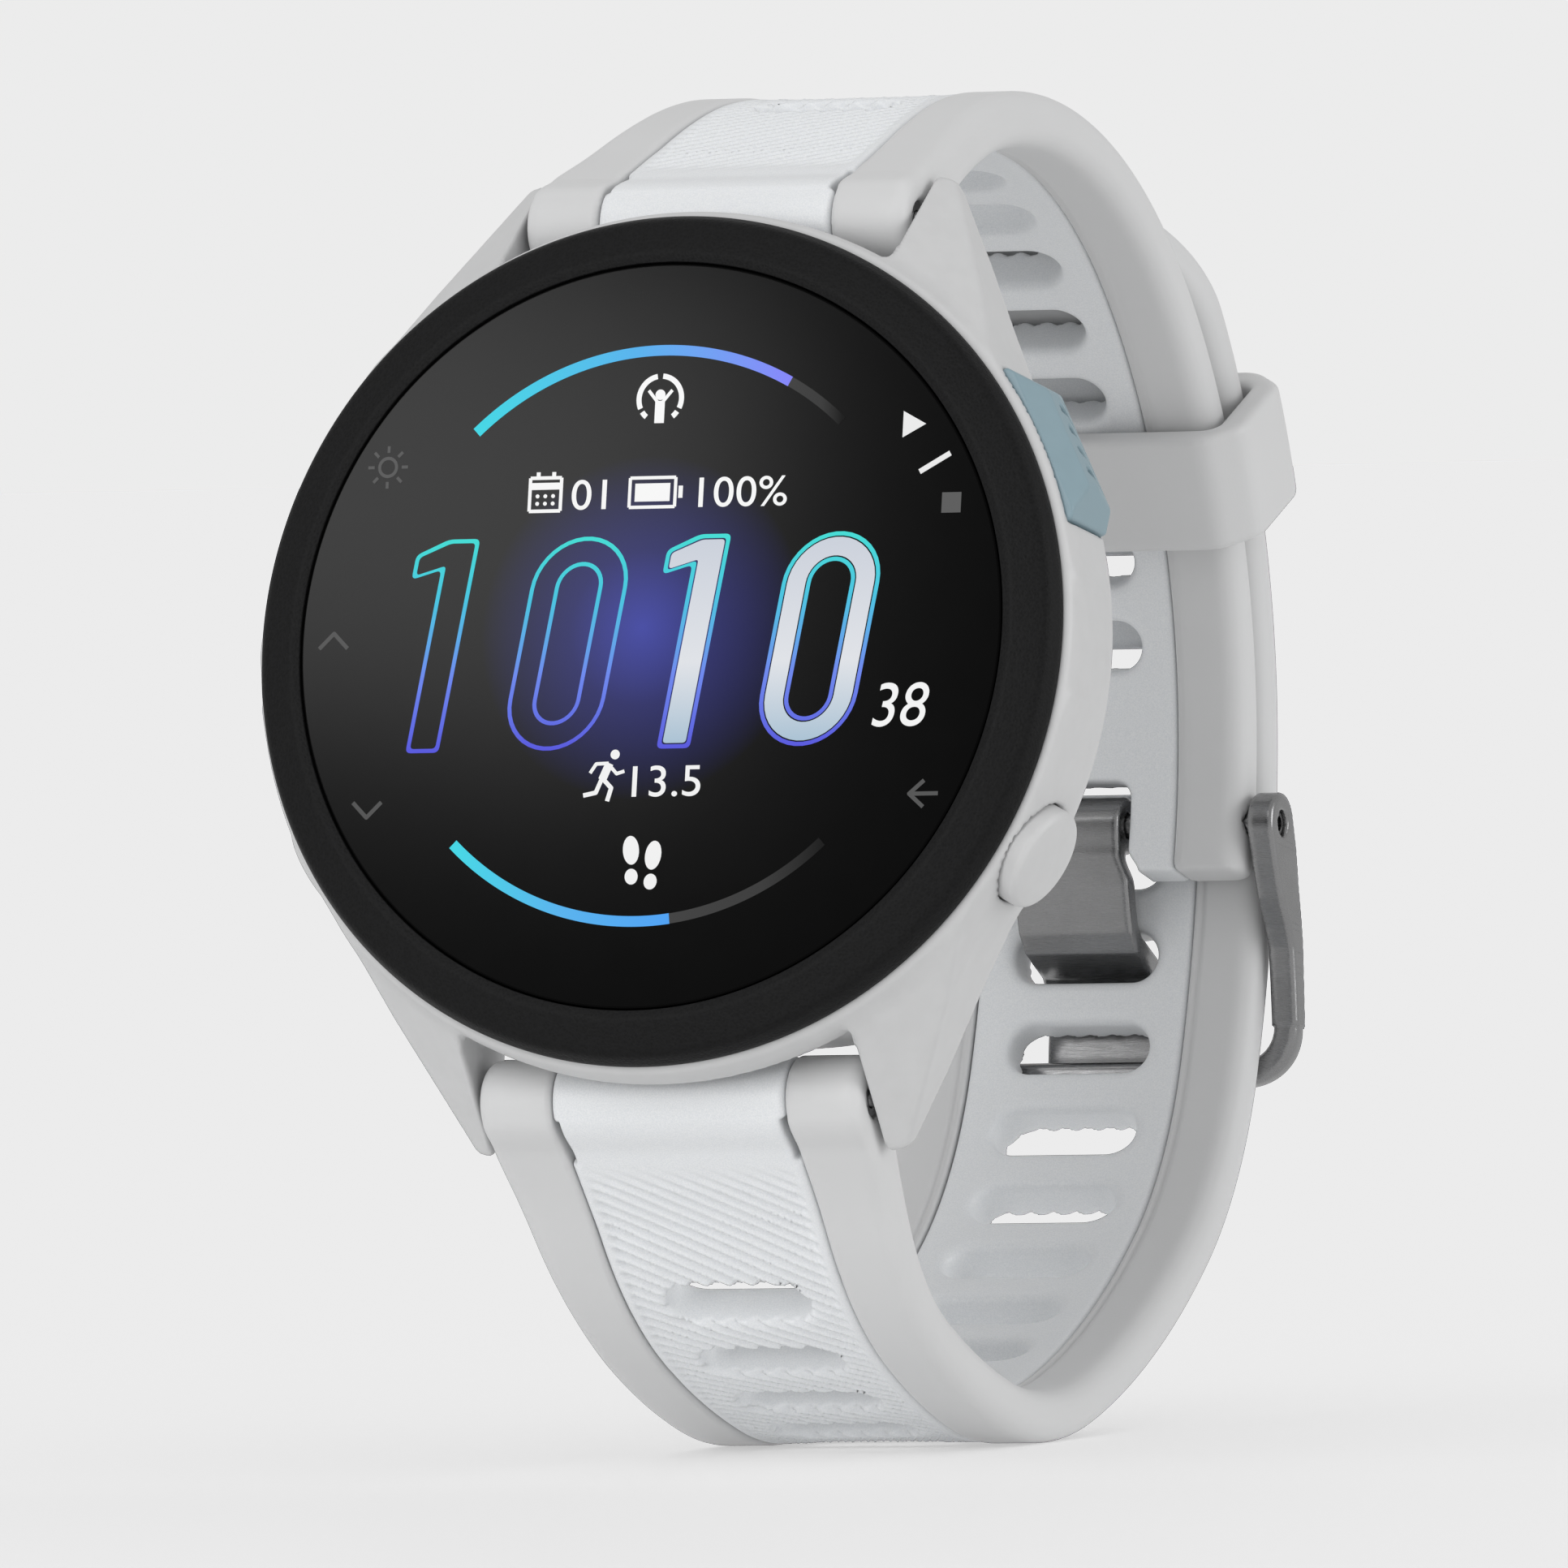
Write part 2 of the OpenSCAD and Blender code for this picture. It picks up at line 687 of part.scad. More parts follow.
worn() upper_strap_core();
worn() upper_strap_rails();
worn() lower_strap_core();
worn() lower_strap_rails();
worn() keeper_loop();
worn() buckle_frame();
worn() buckle_tongue();
worn() buckle_pin();
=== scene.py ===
"""Looks of a running watch: the case, bezel, glass, buttons, straps, keeper and buckle are rebuilt
finely round the CAD frame, and the other CAD nodes keep their shapes and get materials.
"""

import json
import math

import bpy
import numpy as np
from mathutils import Matrix, Vector


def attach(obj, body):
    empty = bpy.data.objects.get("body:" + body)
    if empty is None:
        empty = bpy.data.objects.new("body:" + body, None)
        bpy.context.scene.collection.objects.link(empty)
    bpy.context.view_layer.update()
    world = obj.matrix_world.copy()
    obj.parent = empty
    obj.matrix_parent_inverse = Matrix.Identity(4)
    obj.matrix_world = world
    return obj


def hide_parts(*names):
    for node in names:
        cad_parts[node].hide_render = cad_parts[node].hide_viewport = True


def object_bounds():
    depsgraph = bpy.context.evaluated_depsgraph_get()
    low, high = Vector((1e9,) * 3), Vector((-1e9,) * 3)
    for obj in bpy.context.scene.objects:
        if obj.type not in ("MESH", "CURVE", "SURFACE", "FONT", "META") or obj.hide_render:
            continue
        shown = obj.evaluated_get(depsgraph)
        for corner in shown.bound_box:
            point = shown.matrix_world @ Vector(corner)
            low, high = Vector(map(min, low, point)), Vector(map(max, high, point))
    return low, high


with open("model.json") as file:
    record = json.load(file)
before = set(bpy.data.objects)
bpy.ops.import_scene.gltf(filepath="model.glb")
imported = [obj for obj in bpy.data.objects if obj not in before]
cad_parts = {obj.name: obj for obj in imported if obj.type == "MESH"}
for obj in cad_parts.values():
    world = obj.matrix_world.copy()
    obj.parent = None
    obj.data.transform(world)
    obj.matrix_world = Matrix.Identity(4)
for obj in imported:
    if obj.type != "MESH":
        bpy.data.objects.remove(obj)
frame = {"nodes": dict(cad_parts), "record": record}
cad_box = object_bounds()

# ---- Dimensions in millimetres, in the watch's own frame, as in the CAD source ----

MM = 0.001
LEAN = math.radians(12)
CENTRE_Y = 33.0
# Case: a band with four lugs, whose flanks lie on one line each
CASE_R, CASE_FRONT_Y, CASE_BACK_Y, CAVITY_R, BAND_R = 21.5, 1.9, 9.8, 18.2, 18.75
SHELF_R, SHELF_Y = 17.0, (7.4, 8.3)
LUG_GAP, LUG_LINE, LUG_TURN, RECESS_Z, RECESS_Y = 20.6, 20.55, 24.2, 18.9, 4.2
LUG_SIDE = [(2.6, 3.0), (2.35, 12.0), (2.5, 18.6), (5.2, 21.6), (7.9, 23.85), (8.6, 24.0),
            (9.4, 23.4), (9.45, 20.0), (8.95, 16.0), (8.8, 10.0), (6.0, 3.0)]
# The lug's facet: depth at the corner by the strap, and its slopes along x and z from there
FACET_Y, FACET_Z, FACET_SLOPES = 4.46, 20.4, (0.72, 1.02)
BEZEL_R, CREST_R, LENS_R, LENS_Y = 21.0, 18.96, 18.42, 0.2
# Buttons: places are degrees on the dial, and a round button's face is at a distance out
BUTTON_Y, BUTTON_R, POCKET_FLOOR, STEM_R, STEM_IN, STEM_PLAY = 4.9, 2.6, 20.0, 0.75, 17.3, 0.08
BUTTON_TRAVEL = 0.6
CAP_BACK = POCKET_FLOOR + BUTTON_TRAVEL + 0.1
ROUND_BUTTONS = {"back": (-28.7, 22.5), "light": (151.3, 21.85), "up": (180.0, 21.85),
                 "down": (208.7, 21.85)}
START_LEN, START_WIDE, START_AT = 8.4, 4.6, 26.9
# Side view of the start button: distance out, and depth from the button's axis
START_SIDE = [(CAP_BACK, -2.3), (21.45, -2.3), (22.3, -0.9), (22.35, 0.3), (21.9, 2.3),
              (CAP_BACK, 2.3)]
# Straps
BAR_Y, BAR_Z, BAR_R, BAR_TIP_R, BARREL_R = 7.4, 21.7, 0.9, 0.46, 2.1
UPPER_T, LOWER_T, UPPER_LEN, LOWER_LEN, TIP_LEN = 2.8, 2.6, 71.3, 113.3, 9.3
STRAP_HW, STRAP_WIDE_HW, CORE_HW, CORE_WIDE_HW = 9.3, 10.1, 5.7, 6.15
CORE_PLAY, CORE_SUNK, BAR_PLAY, PIN_PLAY, HINGE_PLAY = 0.03, 0.08, 0.1, 0.08, 0.06
# Slots: place of the first, pitch and number; ridges: pitch, lean and depth
SLOT_WIDE, SLOT_TALL = 7.6, 2.6
UPPER_ROW, LOWER_ROW = (14.0, 4.55, 11), (11.8, 4.88, 18)
RIDGE_PITCH, RIDGE_LEAN, RIDGE_DEEP = 0.74, 0.61, 0.38
# Buckle: lines of its arm and tongue from the pin, as depth and height
PIN_R, ARM_IN, ARM_OUT, FAR_BAR_R, FRAME_CORNER_R = 0.6, 9.6, 11.0, 0.65, 2.3
ARM_LINE = [(0, 0), (0.75, -1.5), (1.45, -3), (2.3, -4.4), (2.9, -5.6), (3.3, -7.2),
            (3.75, -9.2), (4.1, -11), (4.22, -12)]
ARM_HALF = [1.55, 1.5, 1.3, 1.0, 0.8, 0.72, 0.68, 0.65, 0.65]
TONGUE_LINE = [(-0.95, 0), (-0.75, -1.5), (-0.3, -3), (0.15, -4.2), (0.55, -5.1), (1.3, -5.8),
               (2.5, -6.2), (3.9, -6.65), (4.9, -7.75), (5.3, -9.3), (5.4, -11),
               (5.35, -12.3), (5.3, -13.1)]
TONGUE_HALF, LOOP_R = 0.55, 1.45
NOTCH_HW, NOTCH_FROM = 3.1, 66.6
KEEPER_LEN, KEEPER_S, KEEPER_R, KEEPER_PLAY, KEEPER_WALL = 6.1, 50.6, 32.0, 0.2, 1.5


def to_row(points):
    """Points of the watch frame in millimetres, as points of the row frame in metres."""
    p = np.asarray(points, float)
    c, s = math.cos(LEAN), math.sin(LEAN)
    y, z = p[..., 1] - CENTRE_Y, p[..., 2]
    return np.stack([p[..., 0], y * c + z * s, z * c - y * s], -1) * MM


def turn_to_row(v):
    """A direction of the watch frame, in the row frame."""
    c, s = math.cos(LEAN), math.sin(LEAN)
    return Vector((v[0], v[1] * c + v[2] * s, v[2] * c - v[1] * s))


# ---- Route of the straps: chains of arcs in the plane of depth and height ----


class Route:
    """A chain of arcs, [length, turn in degrees], with side +1 if the loop's outside is left."""

    def __init__(self, start, heading, arcs, side):
        self.side = side
        self.knots = []
        p, h, at = np.array(start, float), math.radians(heading), 0.0
        for length, turn in arcs:
            k = math.radians(turn) / length
            self.knots.append((at, p, h, k))
            p = p + np.array([math.sin(h + k * length) - math.sin(h),
                              math.cos(h) - math.cos(h + k * length)]) / k
            h += k * length
            at += length

    def at(self, s):
        """Points and headings at distances s. Before the start the route runs on straight."""
        s = np.asarray(s, float)
        p = np.zeros(s.shape + (2,))
        h = np.zeros(s.shape)
        for i, (start, origin, heading, k) in enumerate(self.knots):
            on = s >= start if i else np.ones(s.shape, bool)
            d = np.maximum(s[on] - start, 0)
            before = np.minimum(s[on] - start, 0)
            hh = heading + k * d
            p[on, 0] = origin[0] + (np.sin(hh) - math.sin(heading)) / k
            p[on, 1] = origin[1] + (math.cos(heading) - np.cos(hh)) / k
            p[on, 0] += before * math.cos(heading)
            p[on, 1] += before * math.sin(heading)
            h[on] = hh
        return p, h

    def place(self, q):
        """Strap coordinates (s along, x across, n out) as points of the watch frame."""
        p, h = self.at(q[:, 0])
        n = self.side * q[:, 2]
        return np.stack([q[:, 1], p[:, 0] - n * np.sin(h), p[:, 1] + n * np.cos(h)], 1)


# The upper strap's last arc turns about the hub, and so do the keeper and the lower strap's tail
HUB_FROM, HUB_ARC, PIN_TURN = 38.0, (33.3, -62.2), 57.27
UPPER = Route((BAR_Y, BAR_Z), 39.1, [(12, -14.2), (12, -26.8), (14, -30.8), HUB_ARC], 1)
LOWER = Route((BAR_Y, -BAR_Z), -45.5,
              [(8, 3.5), (9, 25.8), (9, 11.5), (10.7, 30.2), (16, 20.2), (12, 33.7),
               (15.6, 16.6), (33, 56.4)], -1)
HUB_R = -HUB_ARC[0] / math.radians(HUB_ARC[1])
hub_start, hub_heading = (v[0] for v in UPPER.at([HUB_FROM]))
HUB = hub_start + HUB_R * np.array([math.sin(hub_heading), -math.cos(hub_heading)])
TAIL_R = HUB_R + (UPPER_T + LOWER_T) / 2 + 0.15
PIN = HUB + np.array([HUB_R, 0])
PIN_S = HUB_FROM - HUB_ARC[0] * PIN_TURN / HUB_ARC[1]
KEEPER_HEADING = math.degrees(float(UPPER.at([KEEPER_S])[1][0]))

# ---- Distance fields, and meshes made from them ----


def smooth_max(a, b, k):
    """The larger of two fields, blended where they are closer than k."""
    h = np.clip(0.5 + 0.5 * (a - b) / k, 0, 1)
    return b + (a - b) * h + k * h * (1 - h)


def smooth_min(a, b, k):
    return -smooth_max(-a, -b, k)


def smooth_step(v, low, high):
    t = np.clip((v - low) / (high - low), 0, 1)
    return t * t * (3 - 2 * t)


def corner(a, b, r):
    """2D field of a corner rounded by r, from the distances past its two sides."""
    a, b = a + r, b + r
    return np.hypot(np.maximum(a, 0), np.maximum(b, 0)) + np.minimum(np.maximum(a, b), 0) - r


def rounded_box(a, b, half_a, half_b, r):
    return corner(np.abs(a) - half_a, np.abs(b) - half_b, r)


def cove(v, start, reach):
    """Quarter round from 0 where v is below start to 1 where it is past start by reach."""
    return 1 - np.sqrt(1 - np.clip((v - start) / reach, 0, 1) ** 2)


def chain_distance(y, z, points):
    """Distance from a chain of straight lines, and the share of the chain's length there."""
    points = np.asarray(points, float)
    steps = np.hypot(*np.diff(points, axis=0).T)
    ends = np.concatenate([[0], np.cumsum(steps)])
    best, share = np.full(y.shape, 1e9), np.zeros(y.shape)
    for i, (a, b) in enumerate(zip(points[:-1], points[1:])):
        d = b - a
        t = np.clip(((y - a[0]) * d[0] + (z - a[1]) * d[1]) / (d @ d), 0, 1)
        far = np.hypot(y - a[0] - t * d[0], z - a[1] - t * d[1])
        near = far < best
        best[near] = far[near]
        share[near] = (ends[i] + t[near] * steps[i]) / ends[-1]
    return best, share


CORNERS = np.array([[i, j, k] for i in (0, 1) for j in (0, 1) for k in (0, 1)])
EDGES = [(a, b) for a in range(8) for b in range(a + 1, 8)
         if np.abs(CORNERS[a] - CORNERS[b]).sum() == 1]


def sample(field, axes):
    """Values of the field at the crossings of a grid."""
    values = np.empty([len(a) for a in axes])
    for i, a in enumerate(axes[0]):
        plane = np.stack(np.meshgrid([a], axes[1], axes[2], indexing="ij"), -1).reshape(-1, 3)
        values[i] = field(plane).reshape(values.shape[1:])
    return values


def cell_points(values, cells):
    """A point in each cell: the mean of the places where its edges cross the surface."""
    at_corner = np.stack([values[tuple((cells + c).T)] for c in CORNERS], 1)
    total, hits = np.zeros((len(cells), 3)), np.zeros(len(cells))
    for a, b in EDGES:
        va, vb = at_corner[:, a], at_corner[:, b]
        cut = (va < 0) != (vb < 0)
        t = np.where(cut, va / np.where(cut, va - vb, 1), 0)[:, None]
        total += np.where(cut[:, None], CORNERS[a] + t * (CORNERS[b] - CORNERS[a]), 0)
        hits += cut
    return cells + total / hits[:, None]


def net_quads(inside, index):
    """A quad round each line of the grid that crosses the surface, facing out."""
    count, quads = inside.shape, []
    for axis in range(3):
        u, v = (axis + 1) % 3, (axis + 2) % 3
        lead = [slice(1, n - 1) for n in count]
        lead[axis] = slice(0, count[axis] - 1)
        ahead = list(lead)
        ahead[axis] = slice(1, count[axis])
        start, end = inside[tuple(lead)], inside[tuple(ahead)]
        for crossing, order in ((start & ~end, 1), (~start & end, -1)):
            found = np.argwhere(crossing) + [s.start for s in lead]
            around = []
            for du, dv in ((0, 0), (-1, 0), (-1, -1), (0, -1)):
                at = found.copy()
                at[:, u] += du
                at[:, v] += dv
                around.append(index[tuple(at.T)])
            quads.append(np.stack(around, 1)[:, ::order])
    return np.concatenate(quads)


def drawn_on(points, field, cell):
    """Points moved onto the surface along the field's slope, by half a cell at most each time."""
    for _ in range(3):
        value = field(points)
        slope = np.stack([(field(points + d) - field(points - d)) / 0.02
                          for d in np.eye(3) * 0.01], 1)
        step = -(value / np.maximum((slope ** 2).sum(1), 0.05))[:, None] * slope
        points = points + np.clip(step, -0.5 * cell, 0.5 * cell)
    return points


def skin(field, low, high, cell):
    """Closed mesh of quads where the field crosses 0, by surface nets."""
    low, cell = np.array(low, float), np.array(cell, float) * np.ones(3)
    count = np.ceil((np.array(high) - low) / cell).astype(int) + 1
    values = sample(field, [low[i] + cell[i] * np.arange(count[i]) for i in range(3)])
    inside = values < 0
    mixed = np.zeros(count - 1, np.int8)
    for c in CORNERS:
        mixed += inside[tuple(slice(k, k + n - 1) for k, n in zip(c, count))]
    cells = np.argwhere((mixed > 0) & (mixed < 8))
    index = np.full(count - 1, -1, np.int64)
    index[tuple(cells.T)] = np.arange(len(cells))
    points = low + cell_points(values, cells) * cell
    return drawn_on(points, field, cell), net_quads(inside, index)


def lathe(profile, steps=256):
    """Closed mesh turned about the Y axis from a loop of [radius, depth] points."""
    n = len(profile)
    turn = np.linspace(0, 2 * math.pi, steps, endpoint=False)
    points = np.array([[r * math.cos(a), y, r * math.sin(a)] for a in turn for r, y in profile])
    quads = [[i * n + j, i * n + (j + 1) % n, (i + 1) % steps * n + (j + 1) % n,
              (i + 1) % steps * n + j] for i in range(steps) for j in range(n)]
    return points, np.array(quads)


def rounded(profile, radii, parts=5):
    """A closed outline whose corners are rounded, each by its own radius."""
    points = [np.array(p, float) for p in profile]
    out = []
    for i, (p, r) in enumerate(zip(points, radii)):
        a, b = points[i - 1], points[(i + 1) % len(points)]
        if r <= 0:
            out.append(p)
            continue
        ua, ub = (a - p) / np.linalg.norm(a - p), (b - p) / np.linalg.norm(b - p)
        reach = min(r, 0.45 * np.linalg.norm(a - p), 0.45 * np.linalg.norm(b - p))
        for t in np.linspace(0, 1, parts):
            out.append(p + ua * reach * (1 - t) ** 2 + ub * reach * t ** 2)
    return [tuple(v) for v in out]


# ---- Materials ----


class Shader:
    """A Principled material with short helpers for its nodes."""

    def __init__(self, name, **values):
        self.material = bpy.data.materials.new(name)
        self.material.use_nodes = True
        self.nodes = self.material.node_tree.nodes
        self.links = self.material.node_tree.links
        self.shader = self.nodes["Principled BSDF"]
        for key, value in values.items():
            self.set(key.replace("_", " "), value)

    def set(self, socket, value):
        entry = self.shader.inputs[socket]
        if entry.type == "RGBA":
            value = (*value, 1)
        entry.default_value = value

    def fill(self, socket, value):
        """Links a socket to an output, or sets it to a value."""
        if isinstance(value, bpy.types.NodeSocket):
            self.links.new(value, socket)
        else:
            socket.default_value = value

    def add(self, kind, **inputs):
        node = self.nodes.new(kind)
        for key, value in inputs.items():
            self.fill(node.inputs[key.replace("_", " ")], value)
        return node

    def place(self, scale=(1, 1, 1)):
        """Object coordinates in metres, stretched by scale."""
        where = self.nodes.new("ShaderNodeTexCoord").outputs["Object"]
        node = self.add("ShaderNodeMapping", Vector=where, Scale=scale)
        return node.outputs["Vector"]

    def noise(self, scale, detail=4.0, stretch=(1, 1, 1)):
        node = self.add("ShaderNodeTexNoise", Vector=self.place(stretch), Scale=scale,
                        Detail=detail)
        return node.outputs["Fac"]

    def math(self, operation, a, b=0.0):
        node = self.nodes.new("ShaderNodeMath")
        node.operation = operation
        for socket, value in zip(node.inputs, (a, b)):
            self.fill(socket, value)
        return node.outputs[0]

    def ramp(self, fac, stops):
        node = self.add("ShaderNodeValToRGB", Fac=fac)
        elements = node.color_ramp.elements
        while len(elements) < len(stops):
            elements.new(0.5)
        for element, (at, colour) in zip(elements, stops):
            element.position = at
            element.color = (*colour, 1)
        return node.outputs["Color"]

    def grade(self, fac, low, high, start=0.3, end=0.7):
        """A ramp between two colours or two greys."""
        low, high = (c if isinstance(c, tuple) else (c,) * 3 for c in (low, high))
        return self.ramp(fac, [(start, low), (end, high)])

    def measure(self, operation, vector):
        """A number made from the object coordinates and a fixed vector."""
        node = self.add("ShaderNodeVectorMath")
        node.operation = operation
        self.links.new(self.nodes.new("ShaderNodeTexCoord").outputs["Object"], node.inputs[0])
        node.inputs[1].default_value = tuple(vector)
        return node.outputs["Value"]

    def feed(self, socket, output):
        self.links.new(output, self.shader.inputs[socket])

    def bump(self, height, strength, distance):
        node = self.add("ShaderNodeBump", Height=height, Strength=strength, Distance=distance)
        self.feed("Normal", node.outputs["Normal"])

    def vary(self, base, spread, scale, rough, rough_spread):
        """Small variation of colour and roughness over the surface."""
        fac = self.noise(scale)
        low = tuple(c * (1 - spread) for c in base)
        high = tuple(min(c * (1 + spread), 1) for c in base)
        self.feed("Base Color", self.grade(fac, low, high))
        self.feed("Roughness", self.grade(fac, rough - rough_spread, rough + rough_spread))


SOFT = {"Subsurface_Weight": 0.08, "Subsurface_Scale": 0.0006}


def silicone(name, colour, rough, sheen):
    m = Shader(name, Specular_IOR_Level=0.4, Sheen_Weight=sheen, Sheen_Roughness=0.4,
               Subsurface_Radius=(0.6, 0.6, 0.6), **SOFT)
    m.vary(colour, 0.012, 160, rough, 0.04)
    m.bump(m.noise(9000, 2), 0.10, 0.00003)
    return m.material


def pearl_silicone():
    """White core of the strap, faintly blue, with fine mica that catches the light."""
    m = Shader("strap_pearl", Specular_IOR_Level=0.5, Coat_Weight=0.12, Coat_Roughness=0.35,
               Subsurface_Radius=(0.6, 0.6, 0.7), **SOFT)
    flakes = m.noise(14000, 1)
    m.feed("Base Color", m.grade(flakes, (0.76, 0.78, 0.80), (0.86, 0.87, 0.88), end=0.75))
    m.feed("Roughness", m.grade(m.noise(3000, 2), 0.36, 0.5))
    m.bump(flakes, 0.12, 0.00003)
    return m.material


def polymer(name, colour, rough):
    m = Shader(name, Specular_IOR_Level=0.45)
    m.vary(colour, 0.02, 900, rough, 0.03)
    m.bump(m.noise(11000, 3), 0.12, 0.00003)
    return m.material


def bezel_polymer():
    """Black polymer with a fine, leather-like grain on the sloping ring."""
    m = Shader("bezel_black", Specular_IOR_Level=0.13)
    cells = m.add("ShaderNodeTexVoronoi", Vector=m.place(), Scale=6500.0)
    fine = m.noise(9000, 4)
    grain = m.math("ADD", m.math("MULTIPLY", cells.outputs["Distance"], 0.6), fine)
    m.feed("Base Color", m.grade(grain, 0.0025, (0.008, 0.008, 0.0083), 0.35, 0.95))
    m.feed("Roughness", m.grade(fine, 0.48, 0.6))
    m.bump(grain, 0.5, 0.00005)
    return m.material


def dark_metal():
    """Grey steel, brushed across the wrist in short fine lines."""
    m = Shader("buckle_steel", Metallic=1.0)
    brush = m.noise(26000, 2, (0.04, 1, 1))
    tone = m.noise(500, 2)
    m.feed("Base Color", m.grade(tone, (0.265, 0.265, 0.267), (0.285, 0.285, 0.288)))
    m.feed("Roughness", m.grade(brush, 0.22, 0.32))
    m.bump(brush, 0.2, 0.00001)
    return m.material


def bright_metal(name, colour, rough):
    m = Shader(name, Metallic=1.0)
    m.vary(colour, 0.06, 1500, rough, 0.06)
    m.bump(m.noise(6000, 2), 0.05, 0.00002)
    return m.material


def board_green():
    """Solder mask with the faint lines of the copper tracks under it."""
    m = Shader("board_green", Specular_IOR_Level=0.5, Roughness=0.35)
    tracks = m.add("ShaderNodeTexBrick", Vector=m.place((600, 600, 600)),
                   Color1=(0.01, 0.09, 0.035, 1), Color2=(0.012, 0.11, 0.045, 1),
                   Mortar=(0.03, 0.2, 0.09, 1))
    m.feed("Base Color", tracks.outputs["Color"])
    return m.material


GLASS = {"Specular_IOR_Level": 0.035, "IOR": 1.5}
GLASS_ROUGH, LIT_ROUGH = 0.22, 0.2
GLOW_AT, GLOW_R = (-0.4, LENS_Y, 0.4), 8.5


def cover_glass():
    """Black glass over the screen, with the blue glow of the lit dial behind the figures."""
    m = Shader("cover_glass", Roughness=GLASS_ROUGH, Emission_Strength=1.0, **GLASS)
    reach = m.math("DIVIDE", m.measure("DISTANCE", to_row(GLOW_AT)), GLOW_R * MM)
    glow = m.ramp(reach, [(0.0, (0.035, 0.045, 0.34)), (0.45, (0.012, 0.014, 0.12)),
                          (1.0, (0.0, 0.0, 0.0))])
    m.feed("Emission Color", glow)
    m.feed("Base Color", m.grade(m.noise(400, 2), 0.001, 0.0014))
    return m.material


def lit(name, stops, along, span, centre=0.0, strength=1.0):
    """A lit figure of the screen. The colour runs through stops, in millimetres, along a
    direction of the dial."""
    m = Shader(name, Roughness=LIT_ROUGH, Base_Color=(0.001,) * 3, Emission_Strength=strength,
               **GLASS)
    direction = turn_to_row(along)
    offset = float(np.dot(to_row((0, LENS_Y, 0)), direction))
    place = m.math("SUBTRACT", m.measure("DOT_PRODUCT", direction), offset + centre * MM)
    fac = m.math("ADD", m.math("DIVIDE", place, span * MM), 0.5)
    m.feed("Emission Color", m.ramp(fac, stops))
    return m.material


def lit_grey(name, low, high):
    return lit(name, [(0.0, (low,) * 3), (1.0, (high,) * 3)], (0, 0, 1), 30)


# ---- Pieces ----


def linked(name, data):
    obj = bpy.data.objects.new(name, data)
    bpy.context.scene.collection.objects.link(obj)
    return obj


def new_object(name, points, faces, material):
    """An object from points in the watch frame."""
    data = bpy.data.meshes.new(name)
    data.from_pydata(to_row(points).tolist(), [], faces)
    data.validate()
    data.materials.append(material)
    return linked(name, data)


def piece(name, mesh, material, body):
    """Makes an object that stands in place of the CAD node of its name."""
    points, faces = mesh
    obj = new_object(name, points, faces.tolist(), material)
    obj.data.polygons.foreach_set("use_smooth", [True] * len(obj.data.polygons))
    obj.data.update()
    fix_facing(obj)
    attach(obj, body)
    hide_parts(name)
    return obj


def fix_facing(obj):
    """Turns the faces out if the mesh's volume came out negative."""
    data = obj.data
    data.calc_loop_triangles()
    tri = np.zeros(len(data.loop_triangles) * 3, np.int64)
    data.loop_triangles.foreach_get("vertices", tri)
    co = np.zeros(len(data.vertices) * 3)
    data.vertices.foreach_get("co", co)
    a, b, c = co.reshape(-1, 3)[tri.reshape(-1, 3)].transpose(1, 0, 2)
    if (a * np.cross(b, c)).sum() < 0:
        data.flip_normals()


def sharpen(obj, angle=35):
    """Keeps creases crisp while the rest is shaded smooth."""
    obj.data.set_sharp_from_angle(angle=math.radians(angle))


def radial_coordinates(p, angle):
    """Distance out, distance round and depth from a button's axis."""
    a = math.radians(angle)
    out = p[:, 0] * math.cos(a) + p[:, 2] * math.sin(a)
    round_ = p[:, 2] * math.cos(a) - p[:, 0] * math.sin(a)
    return out, round_, p[:, 1] - BUTTON_Y


def outline_distance(u, v, loop):
    """Signed distance from a closed outline, less than 0 inside."""
    far, _ = chain_distance(u, v, loop + loop[:1])
    inside = np.zeros(u.shape, bool)
    for (a, b), (c, d) in zip(loop, loop[1:] + loop[:1]):
        if b != d:
            inside ^= ((b > v) != (d > v)) & (u < (c - a) * (v - b) / (d - b) + a)
    return np.where(inside, -far, far)


def lug_field(x, y, z):
    """A lug is a pointed fang: its side outline, its flank and a facet across its face."""
    side = outline_distance(y, z, LUG_SIDE) - 0.12
    turn = math.radians(LUG_TURN)
    flank = x * math.cos(turn) + z * math.sin(turn) - LUG_LINE + 0.1 * np.clip(y - 5, 0, 5)
    across, along = FACET_SLOPES
    facet = FACET_Y + across * (x - LUG_GAP / 2) + along * (z - FACET_Z) - y
    body = smooth_max(side, flank, 0.22)
    body = smooth_max(body, facet / math.sqrt(1 + across ** 2 + along ** 2), 0.22)
    return smooth_max(body, LUG_GAP / 2 - x, 0.25)


def button_pockets(p, solid):
    """The case with a pocket and a stem's bore for each button."""
    bores = []
    for angle, _ in ROUND_BUTTONS.values():
        out, round_, deep = radial_coordinates(p, angle)
        far = np.hypot(round_, deep)
        solid = smooth_max(solid, np.minimum(BUTTON_R + 0.08 - far, out - POCKET_FLOOR), 0.1)
        bores.append(np.minimum(STEM_R + STEM_PLAY - far, out - 10))
    out, round_, deep = radial_coordinates(p, START_AT)
    well = rounded_box(round_, deep, START_LEN / 2 + 0.1, START_WIDE / 2 + 0.08, 0.35)
    solid = smooth_max(solid, np.minimum(-well, out - POCKET_FLOOR), 0.1)
    bores.append(np.minimum(STEM_R + STEM_PLAY - np.hypot(round_, deep), out - 10))
    return np.maximum(solid, np.max(bores, axis=0))


